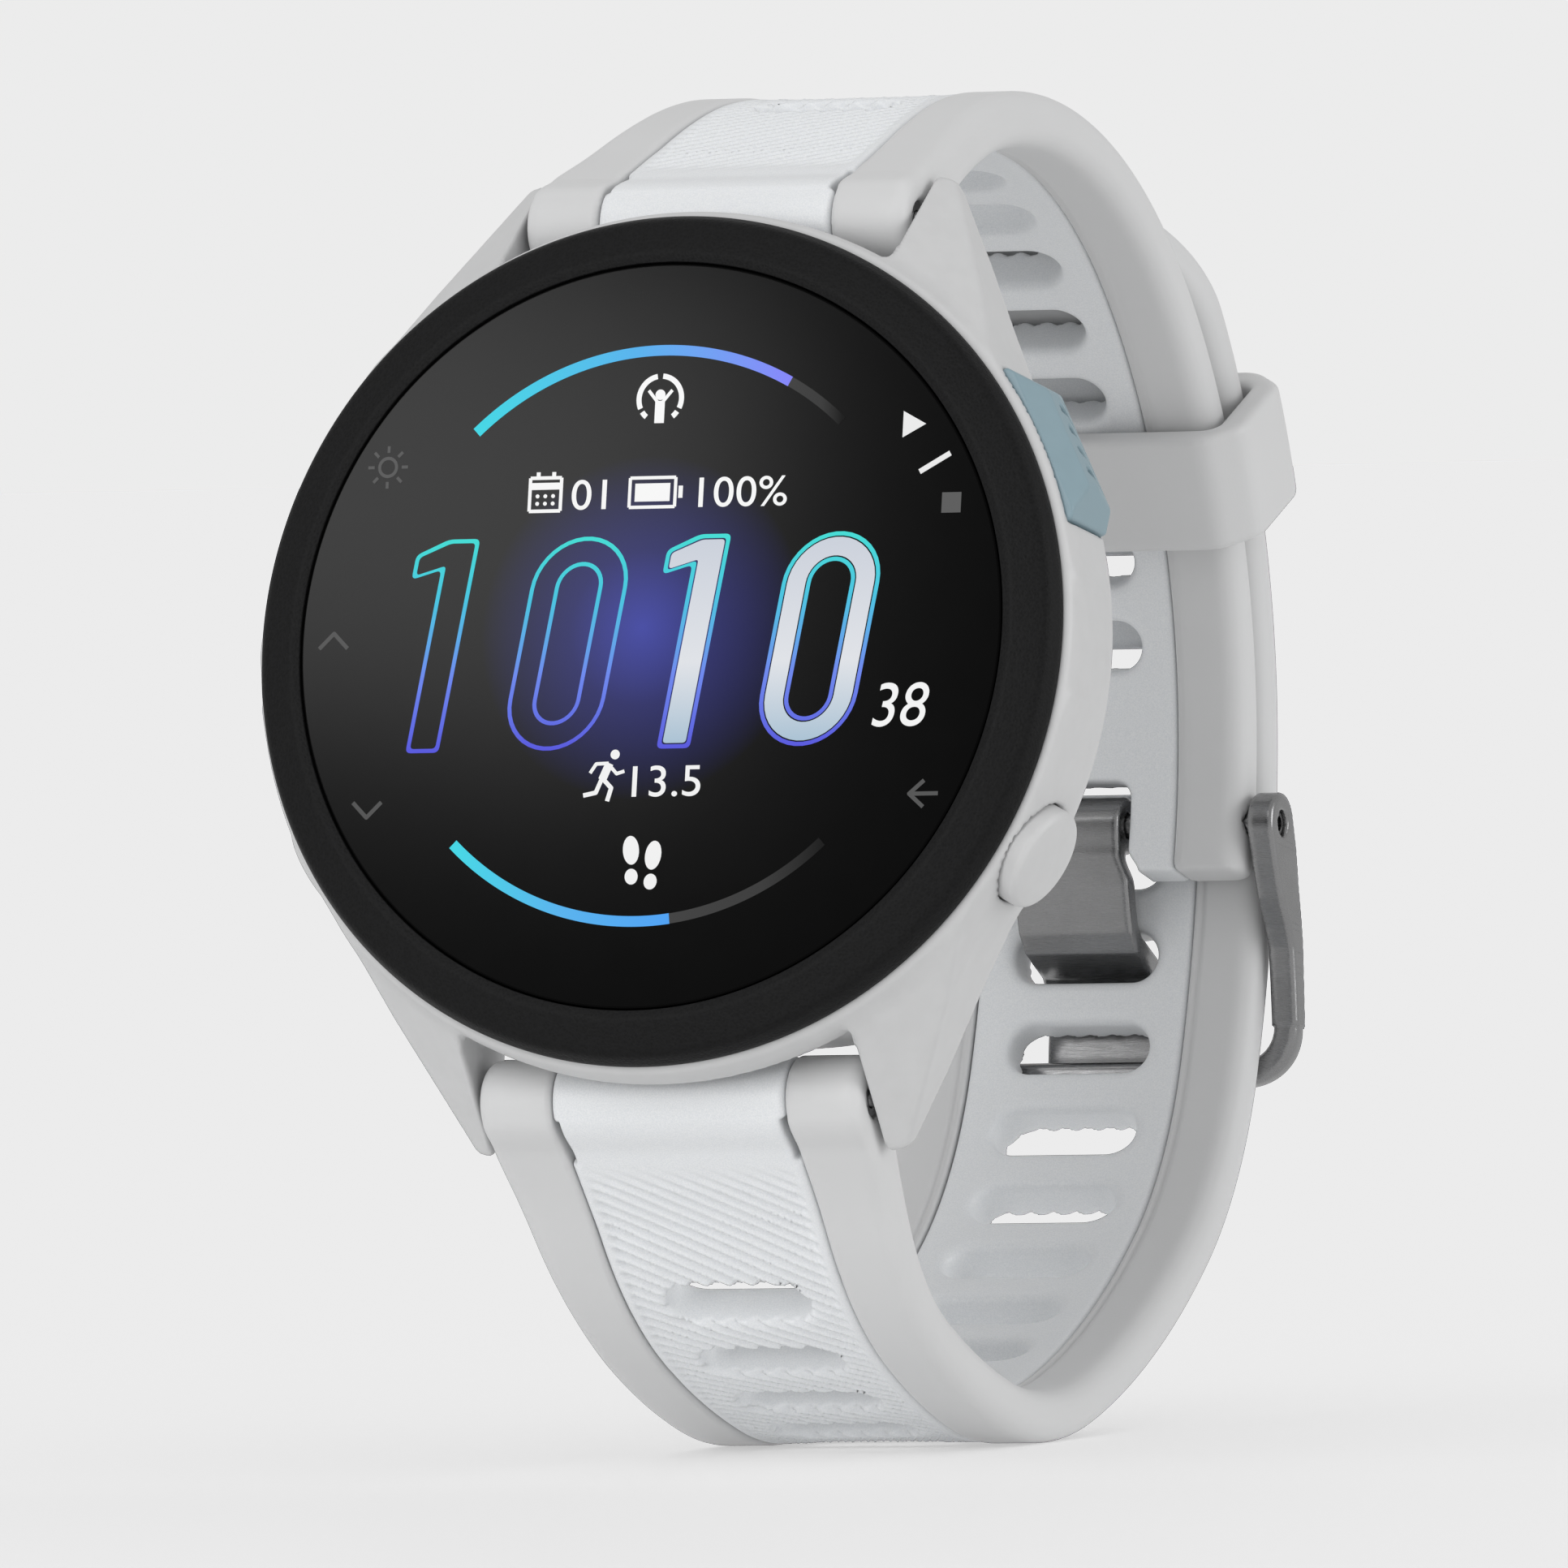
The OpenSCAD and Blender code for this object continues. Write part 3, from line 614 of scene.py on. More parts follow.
def case_field(p):
    """The band round the watch, with its lugs, recesses, cavity and bores."""
    x, y, z = np.abs(p[:, 0]), p[:, 1], np.abs(p[:, 2])
    rho = np.hypot(x, z)
    back = np.clip((y - 6) / (CASE_BACK_Y - 6), 0, 0.995)
    front = np.clip((3.4 - y) / 1.5, 0, 1)
    edge = BAND_R + (CASE_R - BAND_R) * np.sqrt(1 - back ** 2) - 0.25 * front ** 2
    band = smooth_max(rho - edge, np.maximum(CASE_FRONT_Y - y, y - CASE_BACK_Y), 0.35)
    solid = smooth_min(band, lug_field(x, y, z), 0.45)
    recess = np.maximum(np.maximum(x - LUG_GAP / 2, RECESS_Z - z), RECESS_Y - y)
    solid = smooth_max(solid, -recess, 0.3)
    cavity = np.where((y > SHELF_Y[0]) & (y < SHELF_Y[1]), SHELF_R, CAVITY_R)
    solid = np.maximum(solid, cavity - rho)
    hole = np.maximum(np.hypot(y - BAR_Y, z - BAR_Z) - BAR_TIP_R, x - 10.85)
    return button_pockets(p, np.maximum(solid, -hole))


def strap_widths(s):
    """Half widths of the strap and of its core."""
    ease = smooth_step(s, 1.5, 16)
    return (STRAP_WIDE_HW + (STRAP_HW - STRAP_WIDE_HW) * ease,
            CORE_WIDE_HW + (CORE_HW - CORE_WIDE_HW) * np.clip(s / 25, 0, 1))


def strap_side(s, n, thick):
    """Field of the strap's side view: the barrel round the spring bar, then the band."""
    half = thick / 2 + 0.6 * np.clip(1 - s / 7, 0, 1) ** 1.3
    return smooth_min(np.hypot(s, n) - BARREL_R, np.maximum(np.abs(n) - half, -s), 0.6)


def core_end(s, x, end, hw):
    """Field across the core, whose far end is round."""
    return np.where(s > end - hw, np.hypot(s - end + hw, x) - hw, x - hw)


def ridges(q, length, thick, hw):
    """Slanted fine ridges that cover the outside of the core, and stop short of its edges."""
    s, x, n = q[:, 0], np.abs(q[:, 1]), q[:, 2]
    fade = smooth_step(s, 2.5, 5.5) * (1 - smooth_step(s, length - 5, length - 1))
    wave = (1 - np.cos(2 * math.pi * (s - RIDGE_LEAN * q[:, 1]) / RIDGE_PITCH)) / 2
    on_outside = smooth_step(n, 0.1, thick / 2 - 0.3)
    return RIDGE_DEEP * fade * on_outside * wave * smooth_step(hw - x, 0.4, 0.9)


def slots_field(q, thick, row):
    """The row of pill-shaped slots, opened at the inside and eased at the outside."""
    s, x, n = q[:, 0], np.abs(q[:, 1]), q[:, 2]
    first, pitch, count = row
    at = s - first - np.clip(np.round((s - first) / pitch), 0, count - 1) * pitch
    r = SLOT_TALL / 2
    lip = np.clip((n - thick / 2 + 0.28) / 0.2, 0, 1)
    flare = 0.48 * cove(-n, thick / 2 - 0.7, 0.6) + 0.12 * lip ** 2
    return np.hypot(np.maximum(x - SLOT_WIDE / 2 + r, 0), at) - r - flare


def notch_field(q, thick):
    """Room for the tongue's loop in the upper strap's end, wider at the wrist side."""
    s, x, n = q[:, 0], np.abs(q[:, 1]), q[:, 2]
    flare = 0.25 * cove(-n, thick / 2 - 0.95, 0.85)
    mouth = 0.6 * smooth_step(s, UPPER_LEN - 1.2, UPPER_LEN)
    return smooth_max(x - NOTCH_HW - flare - mouth, NOTCH_FROM - s - flare, 1.0)


def drilled(body, s, n, tail):
    """The strap with its bore for the spring bar and, at the buckle's end, for the pin."""
    body = np.maximum(body, BAR_R + BAR_PLAY - np.hypot(s, n))
    if tail:
        return body
    return np.maximum(body, PIN_R + PIN_PLAY - np.hypot(s - PIN_S, n))


def core_field(q, thick, length, row, tail):
    """The strap's core between the rails, which has a round end where the strap has a tail."""
    s, x, n = q[:, 0], np.abs(q[:, 1]), q[:, 2]
    hw = strap_widths(s)[1]
    side = core_end(s, x, length, hw - CORE_PLAY)
    if not tail:
        side = np.maximum(x - hw + CORE_PLAY, s - length)
    body = smooth_max(strap_side(s, n, thick - 2 * CORE_SUNK), side, 0.4)
    body = body + ridges(q, length, thick, hw)
    body = smooth_max(body, -slots_field(q, thick, row), 0.12)
    cheek = np.maximum(hw - x - 0.35, np.abs(s - 1.2) - 1.4)
    body = smooth_max(body, -np.maximum(cheek, 0.5 - n), 0.2)
    if not tail:
        body = smooth_max(body, -notch_field(q, thick), 0.15)
    return drilled(body, s, n, tail)


def rails_field(q, thick, length, tail):
    """The strap's two side rails, joined round the tip where the strap has a tail."""
    s, x, n = q[:, 0], np.abs(q[:, 1]), q[:, 2]
    wide, core = strap_widths(s)
    flat = np.abs(n) - thick / 2
    if tail:
        across = np.hypot(np.maximum(s - length, 0), x) - wide
        window = core_end(s, x, length + CORE_PLAY, core + CORE_PLAY)
        body = corner(across, flat, 1.15)
    else:
        window = x - core - CORE_PLAY
        body = smooth_max(corner(x - wide, flat, 1.2), s - length, 0.5)
    body = smooth_max(body, -s, 0.1)
    near_lug = smooth_max(strap_side(s, n, thick), x - wide, 0.9)
    blend = smooth_step(s, 2.0, 8.0)
    body = smooth_max(near_lug * (1 - blend) + body * blend, -window, 0.3)
    groove = np.hypot(window - 0.42, n + thick / 2) - 0.14
    body = drilled(smooth_max(body, -groove, 0.06), s, n, tail)
    lever = rounded_box(q[:, 1] - 7.9, s, 1.7, 0.95, 0.3)
    return np.maximum(body, -np.maximum(lever, n + 0.2))


def strap_piece(name, field, route, reach, cell, material):
    """A piece modelled straight, in strap coordinates, and bent onto its route. It reaches
    as far as reach along and across."""
    along, across = reach
    points, faces = skin(field, (-2.6, -across, -2.4), (along + 0.5, across, 2.4), cell)
    piece(name, (route.place(points), faces), material, "watch")


def keeper_field(p):
    """A bevelled loop round both straps, whose middle line is an arc about the hub."""
    x, y, z = p[:, 0], p[:, 1] - HUB[0], p[:, 2] - HUB[1]
    r = np.hypot(y, z)
    along = (np.arctan2(z, y) - math.radians(KEEPER_HEADING + 90)) * r
    inner = HUB_R - UPPER_T / 2 - KEEPER_PLAY
    outer = TAIL_R + LOWER_T / 2 + KEEPER_PLAY
    mid, half = (inner + outer) / 2, (outer - inner) / 2
    deep, wide = half + KEEPER_WALL, STRAP_HW + 0.3 + KEEPER_WALL
    body = rounded_box(x, r - mid, wide, deep, 0.7)
    bevel = (np.abs(x) - wide + np.abs(r - mid) - deep) * 0.7071 + 1.25
    body = smooth_max(body, bevel, 0.5)
    hole = rounded_box(x, r - mid, STRAP_HW + 0.3, half, 0.8)
    body = smooth_max(body, -hole, 0.35)
    return smooth_max(body, np.abs(along) - KEEPER_LEN / 2, 0.45)


def hinge_bore(y, z):
    return PIN_R + HINGE_PLAY - np.hypot(y - PIN[0], z - PIN[1])


def buckle_frame_field(p):
    """Two arms that bend round into the far bar."""
    x, y, z = np.abs(p[:, 0]), p[:, 1], p[:, 2]
    line = np.array(ARM_LINE) + PIN
    far, share = chain_distance(y, z, line)
    shares = np.concatenate([[0], np.cumsum(np.hypot(*np.diff(line, axis=0).T))])
    width = np.interp(share, shares / shares[-1], ARM_HALF)
    middle, half, end = (ARM_IN + ARM_OUT) / 2, (ARM_OUT - ARM_IN) / 2, line[-1]
    arm = smooth_max(far - width, np.abs(x - middle) - half, 0.3)
    up, deep = z - end[1], np.abs(y - np.interp(-z, -line[:, 1], line[:, 0]))
    turn_x, turn_z = x - middle + FRAME_CORNER_R, FRAME_CORNER_R - up
    across = np.where(turn_x > 0, np.abs(np.hypot(turn_x, turn_z) - FRAME_CORNER_R), np.abs(up))
    bend = smooth_max(across - FAR_BAR_R, deep - FAR_BAR_R, 0.5)
    body = np.maximum(np.where(up > FRAME_CORNER_R, arm, bend), hinge_bore(y, z))
    notch = np.maximum(rounded_box(x, up, 3.3, 2.0, 0.3), end[0] + 0.4 - y)
    return smooth_max(body, -notch, 0.12)


def tongue_field(p):
    """A bent blade with a loop round the pin, a little wider below the loop."""
    x, y, z = np.abs(p[:, 0]), p[:, 1], p[:, 2]
    blade = chain_distance(y, z, np.array(TONGUE_LINE) + PIN)[0] - TONGUE_HALF
    loop = np.hypot(y - PIN[0], z - PIN[1]) - LOOP_R
    wide = 2.7 + 0.4 * smooth_step(PIN[1] - z, 1.6, 3.0)
    body = smooth_max(smooth_min(blade, loop, 0.5), x - wide, 0.3)
    return np.maximum(body, hinge_bore(y, z))


def start_button_field(p):
    """Two facets meet along the cap, which is drawn in at its ends and marked with grooves."""
    out, round_, deep = radial_coordinates(p, START_AT)
    body = outline_distance(out, deep, START_SIDE)
    ends = (np.abs(round_) - START_LEN / 2 + 1.36 * np.maximum(out - 21.2, 0)) * 0.6
    body = smooth_max(body, ends, 0.12)
    mark = np.abs(np.mod(round_ + 0.45 * deep, 1.15) - 0.575) - 0.2
    mark = np.maximum(np.maximum(mark, np.abs(round_) - 2.5), np.abs(deep - 0.75) - 0.95)
    mark_floor = np.interp(deep, [0.3, 2.3], [22.05, 21.6])
    body = smooth_max(body, -np.maximum(mark, mark_floor - out), 0.05)
    stem = np.maximum(np.hypot(round_, deep) - STEM_R, np.maximum(STEM_IN - out, out - 21.5))
    return smooth_min(body, stem, 0.1)


def round_button(name, angle, face, material):
    """A slightly domed cap with a narrow bevel, turned about its own axis, on its stem."""
    r = BUTTON_R
    outline = rounded([(0.001, face), (r - 0.9, face - 0.09), (r - 0.2, face - 0.28),
                       (r, face - 0.5), (r, CAP_BACK), (STEM_R, CAP_BACK), (STEM_R, STEM_IN),
                       (0.001, STEM_IN)], [0, 0.8, 0.3, 0.2, 0.15, 0.1, 0.1, 0], 7)
    points, faces = lathe(outline, 96)
    a = math.radians(angle)
    across, out, deep = points[:, 0], points[:, 1], points[:, 2]
    placed = np.stack([out * math.cos(a) - across * math.sin(a), BUTTON_Y + deep,
                       out * math.sin(a) + across * math.cos(a)], 1)
    sharpen(piece(name, (placed, faces), material, name))


def bezel_mesh():
    profile = [(BEZEL_R, 1.85), (BEZEL_R, 1.4), (BEZEL_R - 0.32, 0.6), (CREST_R, 0),
               (LENS_R + 0.06, 0.14), (LENS_R + 0.06, 1.5), (17.3, 1.5), (17.3, 2.7),
               (CAVITY_R - 0.05, 2.7), (CAVITY_R - 0.05, 1.85)]
    return lathe(rounded(profile, [0.1, 0.25, 0.35, 0.16, 0.05, 0.05, 0, 0, 0, 0], 6), 360)


def lens_mesh():
    profile = [(0.001, LENS_Y), (LENS_R, LENS_Y), (LENS_R, 1.3), (0.001, 1.3)]
    return lathe(rounded(profile, [0, 0.14, 0.05, 0], 6), 360)


def pin_mesh():
    """The pin's ends are drilled, so that they show as small dark holes in the buckle's arms."""
    outline = [(0.001, -9.4), (0.4, -9.4), (0.4, -10.75), (PIN_R, -10.75), (PIN_R, 10.75),
               (0.4, 10.75), (0.4, 9.4), (0.001, 9.4)]
    points, faces = lathe(outline, 48)
    placed = np.stack([points[:, 1], PIN[0] + points[:, 0], PIN[1] + points[:, 2]], 1)
    return placed, faces


# ---- Figures of the screen ----

LAYER = (LENS_Y - 0.02, LENS_Y + 0.01)


def on_circle(centre, r, angles):
    return [(centre[0] + r * math.cos(a), centre[1] + r * math.sin(a)) for a in angles]


def shifted(at, *offsets):
    return [(at[0] + u, at[1] + v) for u, v in offsets]


def box(low, high):
    """Corners of a rectangle."""
    return [low, (high[0], low[1]), high, (low[0], high[1])]


class Figures:
    """Thin closed slabs on the glass, gathered into one mesh."""

    def __init__(self):
        self.points, self.faces = [], []

    def slab(self, outer, inner=None):
        """A filled outline, or the band between two outlines with as many points each."""
        start, n = len(self.points), len(outer)
        loops = [outer] if inner is None else [outer, inner]
        for y in LAYER:
            for loop in loops:
                self.points += [(px, y, pz) for px, pz in loop]
        ring = n * len(loops)
        for j in range(n):
            k = (j + 1) % n
            if inner is None:
                quads = [(j, k, k + ring, j + ring)]
            else:
                quads = [(j, k, k + n, j + n), (j + ring, j + n + ring, k + n + ring, k + ring),
                         (j, j + ring, k + ring, k), (j + n, k + n, k + n + ring, j + n + ring)]
            self.faces += [[start + v for v in quad] for quad in quads]
        if inner is None:
            self.faces.append([start + j for j in range(n)][::-1])
            self.faces.append([start + ring + j for j in range(n)])

    def bar(self, a, b, width):
        a, b = np.array(a, float), np.array(b, float)
        d = (b - a) / np.linalg.norm(b - a)
        n = np.array([-d[1], d[0]]) * width / 2
        self.slab([tuple(a + n), tuple(b + n), tuple(b - n), tuple(a - n)])

    def path(self, points, width):
        for a, b in zip(points[:-1], points[1:]):
            self.bar(a, b, width)
        for p in points[1:-1]:
            self.dot(p, width / 2, 12)

    def loop(self, points, width):
        for a, b in zip(points, points[1:] + points[:1]):
            self.bar(a, b, width)

    def dot(self, centre, r, steps=32, stretch=1.0, turn=0.0):
        a = np.linspace(0, 2 * math.pi, steps, endpoint=False)
        c, s = math.cos(turn), math.sin(turn)
        u, v = r * np.cos(a), r * stretch * np.sin(a)
        self.slab([(centre[0] + i * c - j * s, centre[1] + i * s + j * c) for i, j in zip(u, v)])

    def arc(self, centre, r, width, start, end, steps=72):
        a = np.radians(np.linspace(start, end, steps))
        outer, inner = (on_circle(centre, r + side * width / 2, a) for side in (1, -1))
        for i in range(steps - 1):
            self.slab([outer[i], outer[i + 1], inner[i + 1], inner[i]])

    def ring(self, centre, r, width, steps=64):
        a = np.linspace(0, 2 * math.pi, steps, endpoint=False)
        self.slab(*(on_circle(centre, r + side * width / 2, a) for side in (1, -1)))

    def digits(self, text, left, base, height, slant=0.0, wide=1.1):
        """Small figures from Blender's own font, as closed slabs."""
        curve = bpy.data.curves.new("figures", "FONT")
        curve.body = text
        curve.size = height / 0.729
        curve.shear = slant
        curve.extrude = (LAYER[1] - LAYER[0]) / 2
        curve.space_character = 1.02
        obj = linked("figures", curve)
        bpy.context.view_layer.update()
        mesh = bpy.data.meshes.new_from_object(
            obj.evaluated_get(bpy.context.evaluated_depsgraph_get()))
        start = len(self.points)
        low = min(v.co.x for v in mesh.vertices)
        middle = (LAYER[0] + LAYER[1]) / 2
        self.points += [(left + (v.co.x - low) * wide, middle - v.co.z, base + v.co.y)
                        for v in mesh.vertices]
        self.faces += [[start + v for v in p.vertices] for p in mesh.polygons]
        bpy.data.objects.remove(obj)

    def make(self, name, material):
        obj = new_object(name, self.points, self.faces, material)
        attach(obj, "watch")


DIGIT_TOP, DIGIT_BASE, DIGIT_SLANT = 4.95, -5.6, math.tan(math.radians(8.7))
ZERO_HALF, ZERO_HOLE, ZERO_GAP = 2.55, 1.05, 1.45
# Where the 1 and the 0 of the hour and of the minutes stand, and the width of their outlines
HOUR_AT, MINUTES_AT, LINE = (-10.9, -4.3), (2.35, 8.95), 0.2
EDGE_HUES = [(0.0, (0.10, 0.10, 0.72)), (0.35, (0.16, 0.25, 0.85)), (0.7, (0.07, 0.55, 0.75)),
             (1.0, (0.06, 0.72, 0.66))]
FILL_HUES = [(0.0, (0.40, 0.55, 0.68)), (0.4, (0.78, 0.80, 0.84)), (1.0, (0.62, 0.66, 0.74))]
TEAL, SKY = (0.06, 0.68, 0.78), (0.10, 0.45, 0.85)
BLUE, VIOLET = (0.08, 0.36, 0.90), (0.24, 0.24, 0.95)
UNLIT = [(0.0, (0.055,) * 3), (0.6, (0.045,) * 3), (1.0, (0.01,) * 3)]
ARC_R, ARC_WIDE, REST_WIDE = 14.1, 0.52, 0.5
# Degrees where each arc starts, where its lit part ends, and where it ends
ARCS = {"dial_arc_upper": (133.5, 61.6, 47.5, VIOLET), "dial_arc_lower": (226, 277.4, 313, BLUE)}
LEGEND_R = 16.7


def slanted(points, centre):
    middle = (DIGIT_TOP + DIGIT_BASE) / 2
    return [(centre + u + (v - middle) * DIGIT_SLANT, v) for u, v in points]


def pill(half, low, high, steps=20):
    """Outline of an upright capsule."""
    top = [(half * math.cos(a), high - half + half * math.sin(a))
           for a in np.linspace(0, math.pi, steps)]
    foot = [(half * math.cos(a), low + half + half * math.sin(a))
            for a in np.linspace(math.pi, 2 * math.pi, steps)]
    return top + foot


def one_outline(inset=0.0):
    """Outline of the figure 1, drawn in by inset."""
    i, k = inset, inset * 0.6
    return [(0.87 - i, DIGIT_BASE + i), (0.87 - i, DIGIT_TOP - i), (-0.75 + k, DIGIT_TOP - i),
            (-2.35 + i, DIGIT_TOP - 0.75 - k), (-2.35 + i, DIGIT_TOP - 1.95 + i),
            (-0.87 + i, DIGIT_TOP - 1.5 + i), (-0.87 + i, DIGIT_BASE + i)]


def smoothed(outline, r=0.28):
    return rounded(outline, [r] * len(outline), 5)


def zero(half, inset, centre):
    """Outline of a slanted capsule, drawn in by inset at its top and foot."""
    return slanted(pill(half, DIGIT_BASE + inset, DIGIT_TOP - inset), centre)


def big_digits():
    """The hour in outline, and the minutes filled, with an outline of their own."""
    edge, fill = Figures(), Figures()
    for one_at, zero_at in (HOUR_AT, MINUTES_AT):
        edge.slab(slanted(smoothed(one_outline()), one_at),
                  slanted(smoothed(one_outline(LINE), 0.2), one_at))
        edge.slab(zero(ZERO_HALF, 0, zero_at), zero(ZERO_HALF - LINE, LINE, zero_at))
        edge.slab(zero(ZERO_HOLE + LINE, ZERO_GAP - LINE, zero_at),
                  zero(ZERO_HOLE, ZERO_GAP, zero_at))
    one_at, zero_at = MINUTES_AT
    inset = LINE + 0.07
    fill.slab(slanted(smoothed(one_outline(inset), 0.18), one_at))
    fill.slab(zero(ZERO_HALF - inset, inset, zero_at),
              zero(ZERO_HOLE + inset, ZERO_GAP - inset, zero_at))
    edge.make("dial_digit_edges", lit("lit_edge", EDGE_HUES, (0, 0, 1), 10.6, -0.3))
    fill.make("dial_digit_fill", lit("lit_fill", FILL_HUES, (0, 0, 1), 10.6, -0.3, 0.95))


def arc_light(name, stops, start, end):
    """Light whose colour runs across the dial from one end of an arc to the other."""
    left, right = (ARC_R * math.cos(math.radians(angle)) for angle in (start, end))
    return lit(name, stops, (1, 0, 0), right - left, (left + right) / 2)


def progress_arcs():
    """Two progress arcs, one above and one below the time, each with its unlit rest."""
    for name, (start, split, end, hue) in ARCS.items():
        arc, rest = Figures(), Figures()
        arc.arc((0, 0), ARC_R, ARC_WIDE, start, split)
        rest.arc((0, 0), ARC_R, REST_WIDE, split, end, 32)
        hues = [(0.0, TEAL), (0.5, SKY), (1.0, hue)]
        arc.make(name, arc_light(name + "_light", hues, start, split))
        rest.make(name + "_rest", arc_light(name + "_dim", UNLIT, split, end))


def calendar_sign(f, at, r):
    x, z = at
    f.loop(box((x - r, z - r), (x + r, z + r)), 0.17)
    f.bar((x - r, z + 0.5 * r), (x + r, z + 0.5 * r), 0.34)
    for side in (-0.5, 0.5):
        f.bar((x + side * r, z + r), (x + side * r, z + 1.35 * r), 0.2)
    for i in range(3):
        for j in range(2):
            f.dot((x + (i - 1) * 0.5 * r, z - 0.1 * r - j * 0.45 * r), 0.1, 12)


def battery_sign(f, low, high):
    inset, middle = 0.28, (low[1] + high[1]) / 2
    f.loop(box(low, high), 0.16)
    f.bar((high[0] + inset, middle - 0.3), (high[0] + inset, middle + 0.3), 0.22)
    f.slab(box((low[0] + inset, low[1] + inset), (high[0] - inset, high[1] - inset)))


def runner_sign(f, at):
    f.dot((at[0] + 0.42, at[1] + 1.15), 0.24, 20)
    for width, limb in ((0.42, ((0.15, 0.72), (-0.2, -0.1))),
                        (0.17, ((0.15, 0.62), (0.55, 0.2), (0.95, 0.32))),
                        (0.17, ((0.1, 0.72), (-0.55, 0.7), (-0.85, 0.25))),
                        (0.22, ((-0.15, -0.05), (0.3, -0.5), (0.12, -1.15))),
                        (0.22, ((-0.22, -0.05), (-0.5, -0.72), (-1.15, -0.85)))):
        f.path(shifted(at, *limb), width)


def gauge_sign(f, at):
    for start, end, steps in ((100, 205, 24), (335, 445, 24), (215, 232, 6), (308, 325, 6)):
        f.arc(at, 1.12, 0.26, start, end, steps)
    f.dot((at[0], at[1] + 0.2), 0.26, 20)
    f.bar(*shifted(at, (0, -0.1), (0, -1.2)), 0.5)
    for side in (-1, 1):
        f.bar(*shifted(at, (side * 0.62, 0.42), (side * 0.1, -0.2)), 0.16)


def steps_sign(f, at):
    x, z = at
    for side, lift, turn in ((-0.58, 0.16, 0.12), (0.6, -0.1, -0.12)):
        f.dot((x + side, z + 0.45 + lift), 0.42, 24, 1.7, turn)
        f.dot((x + side * 0.86, z - 0.85 + lift), 0.34, 20, 1.15, turn)


def small_figures():
    """Date, battery, seconds, distance and the small signs beside them, in white."""
    f, base = Figures(), 6.3
    calendar_sign(f, (-5.9, base + 0.78), 0.82)
    f.digits("01", -4.5, base, 1.55)
    battery_sign(f, (-1.45, base + 0.05), (0.95, base + 1.5))
    f.digits("100%", 2.2, base, 1.55)
    f.digits("38", 11.9, -4.7, 2.25, 0.2, 0.95)
    f.digits("13.5", -0.5, -7.95, 1.6)
    runner_sign(f, (-1.9, -7.0))
    gauge_sign(f, (-0.1, 11.7))
    steps_sign(f, (0.2, -11.2))
    f.make("dial_figures", lit_grey("lit_white", 0.86, 0.95))


def rim_spot(angle, out=0.0):
    """The place of a sign near the rim, moved out a little."""
    a = math.radians(angle)
    return (LEGEND_R + out) * np.array([math.cos(a), math.sin(a)])


def sun_sign(f, at):
    f.ring(at, 0.45, 0.16, 24)
    for a in np.radians(45 * np.arange(8)):
        ray = np.array([math.cos(a), math.sin(a)])
        f.bar(at + ray * 0.72, at + ray * 1.05, 0.15)


def legends():
    """Plain signs near the rim, one beside each button."""
    dim, bright = Figures(), Figures()
    sun_sign(dim, rim_spot(149))
    for angle, way in ((180, 1), (210, -1)):
        chevron = ((-0.75, -0.35 * way), (0, 0.4 * way), (0.75, -0.35 * way))
        dim.path(shifted(rim_spot(angle), *chevron), 0.2)
    back = rim_spot(-29)
    dim.path(shifted(back, (0.2, 0.7), (-0.55, 0.05), (0.2, -0.6)), 0.2)
    dim.bar(*shifted(back, (-0.5, 0.05), (0.95, 0.05)), 0.2)
    bright.slab(shifted(rim_spot(37.5), (-0.5, 0.65), (-0.5, -0.65), (0.7, 0)))
    bright.bar(rim_spot(29.6, -0.9), rim_spot(29.6, 0.9), 0.26)
    dim.slab(shifted(rim_spot(22), *box((-0.5, -0.5), (0.5, 0.5))))
    dim.make("dial_signs_dim", lit_grey("lit_legend", 0.085, 0.12))
    bright.make("dial_signs_bright", lit_grey("lit_start", 0.7, 0.85))


# ---- Stage ----


# Camera: degrees turned, raised and rolled, distance in metres, focal length and aim in mm
CAMERA_TURN, CAMERA_RISE, CAMERA_ROLL, CAMERA_FAR = 22.8, -9.67, 3.0, 1.5
CAMERA_LENS, AIM_RIGHT, AIM_UP = 709.2, 6.6, -7.25
WORLD_LIGHT, SEEN_GREY, FLOOR_GREY = 0.62, 0.838, 0.82
# Soft boxes: place along the camera's right, up and back, size, and power in watts
SOFT_BOXES = {"key": ((-0.45, 0.5, 0.75), (0.5, 0.5), 2.0),
              "fill": ((0.95, 0.1, 0.3), (0.5, 0.9), 4.0),
              "low": ((-0.55, 0.1, 0.85), (0.5, 0.25), 1.7)}
WASH_AT, WASH_SIZE, WASH_POWER = (0.0, 1.0, 0.3), (0.8, 0.8), 4.6
# Sheen: direction from the glass and offset from it in the watch frame, distance and power
SHEEN_WAY, SHEEN_OFFSET, SHEEN_FAR = (-0.382, -0.909, 0.168), (-0.034, 0, 0.02), 0.16
SHEEN_SIZE, SHEEN_POWER = (0.08, 0.05), 0.26


def make_camera():
    """A long lens in front of the watch, turned a little to its right side."""
    a, e, r = (math.radians(v) for v in (CAMERA_TURN, CAMERA_RISE, CAMERA_ROLL))
    back = np.array([math.sin(a) * math.cos(e), -math.cos(a) * math.cos(e), math.sin(e)])
    right = np.array([math.cos(a), math.sin(a), 0.0])
    up = np.cross(back, right)
    right, up = right * math.cos(r) + up * math.sin(r), up * math.cos(r) - right * math.sin(r)
    data = bpy.data.cameras.new("camera")
    data.sensor_width, data.lens = 36.0, CAMERA_LENS
    data.clip_start, data.clip_end = 0.05, 20.0
    camera = linked("camera", data)
    axes = [turn_to_row(v) for v in (right, up, back)]
    m = Matrix(axes).transposed().to_4x4()
    aim = Vector(to_row(right * AIM_RIGHT + up * AIM_UP))
    m.translation = aim + axes[2] * CAMERA_FAR
    camera.matrix_world = m
    bpy.context.scene.camera = camera
    return axes


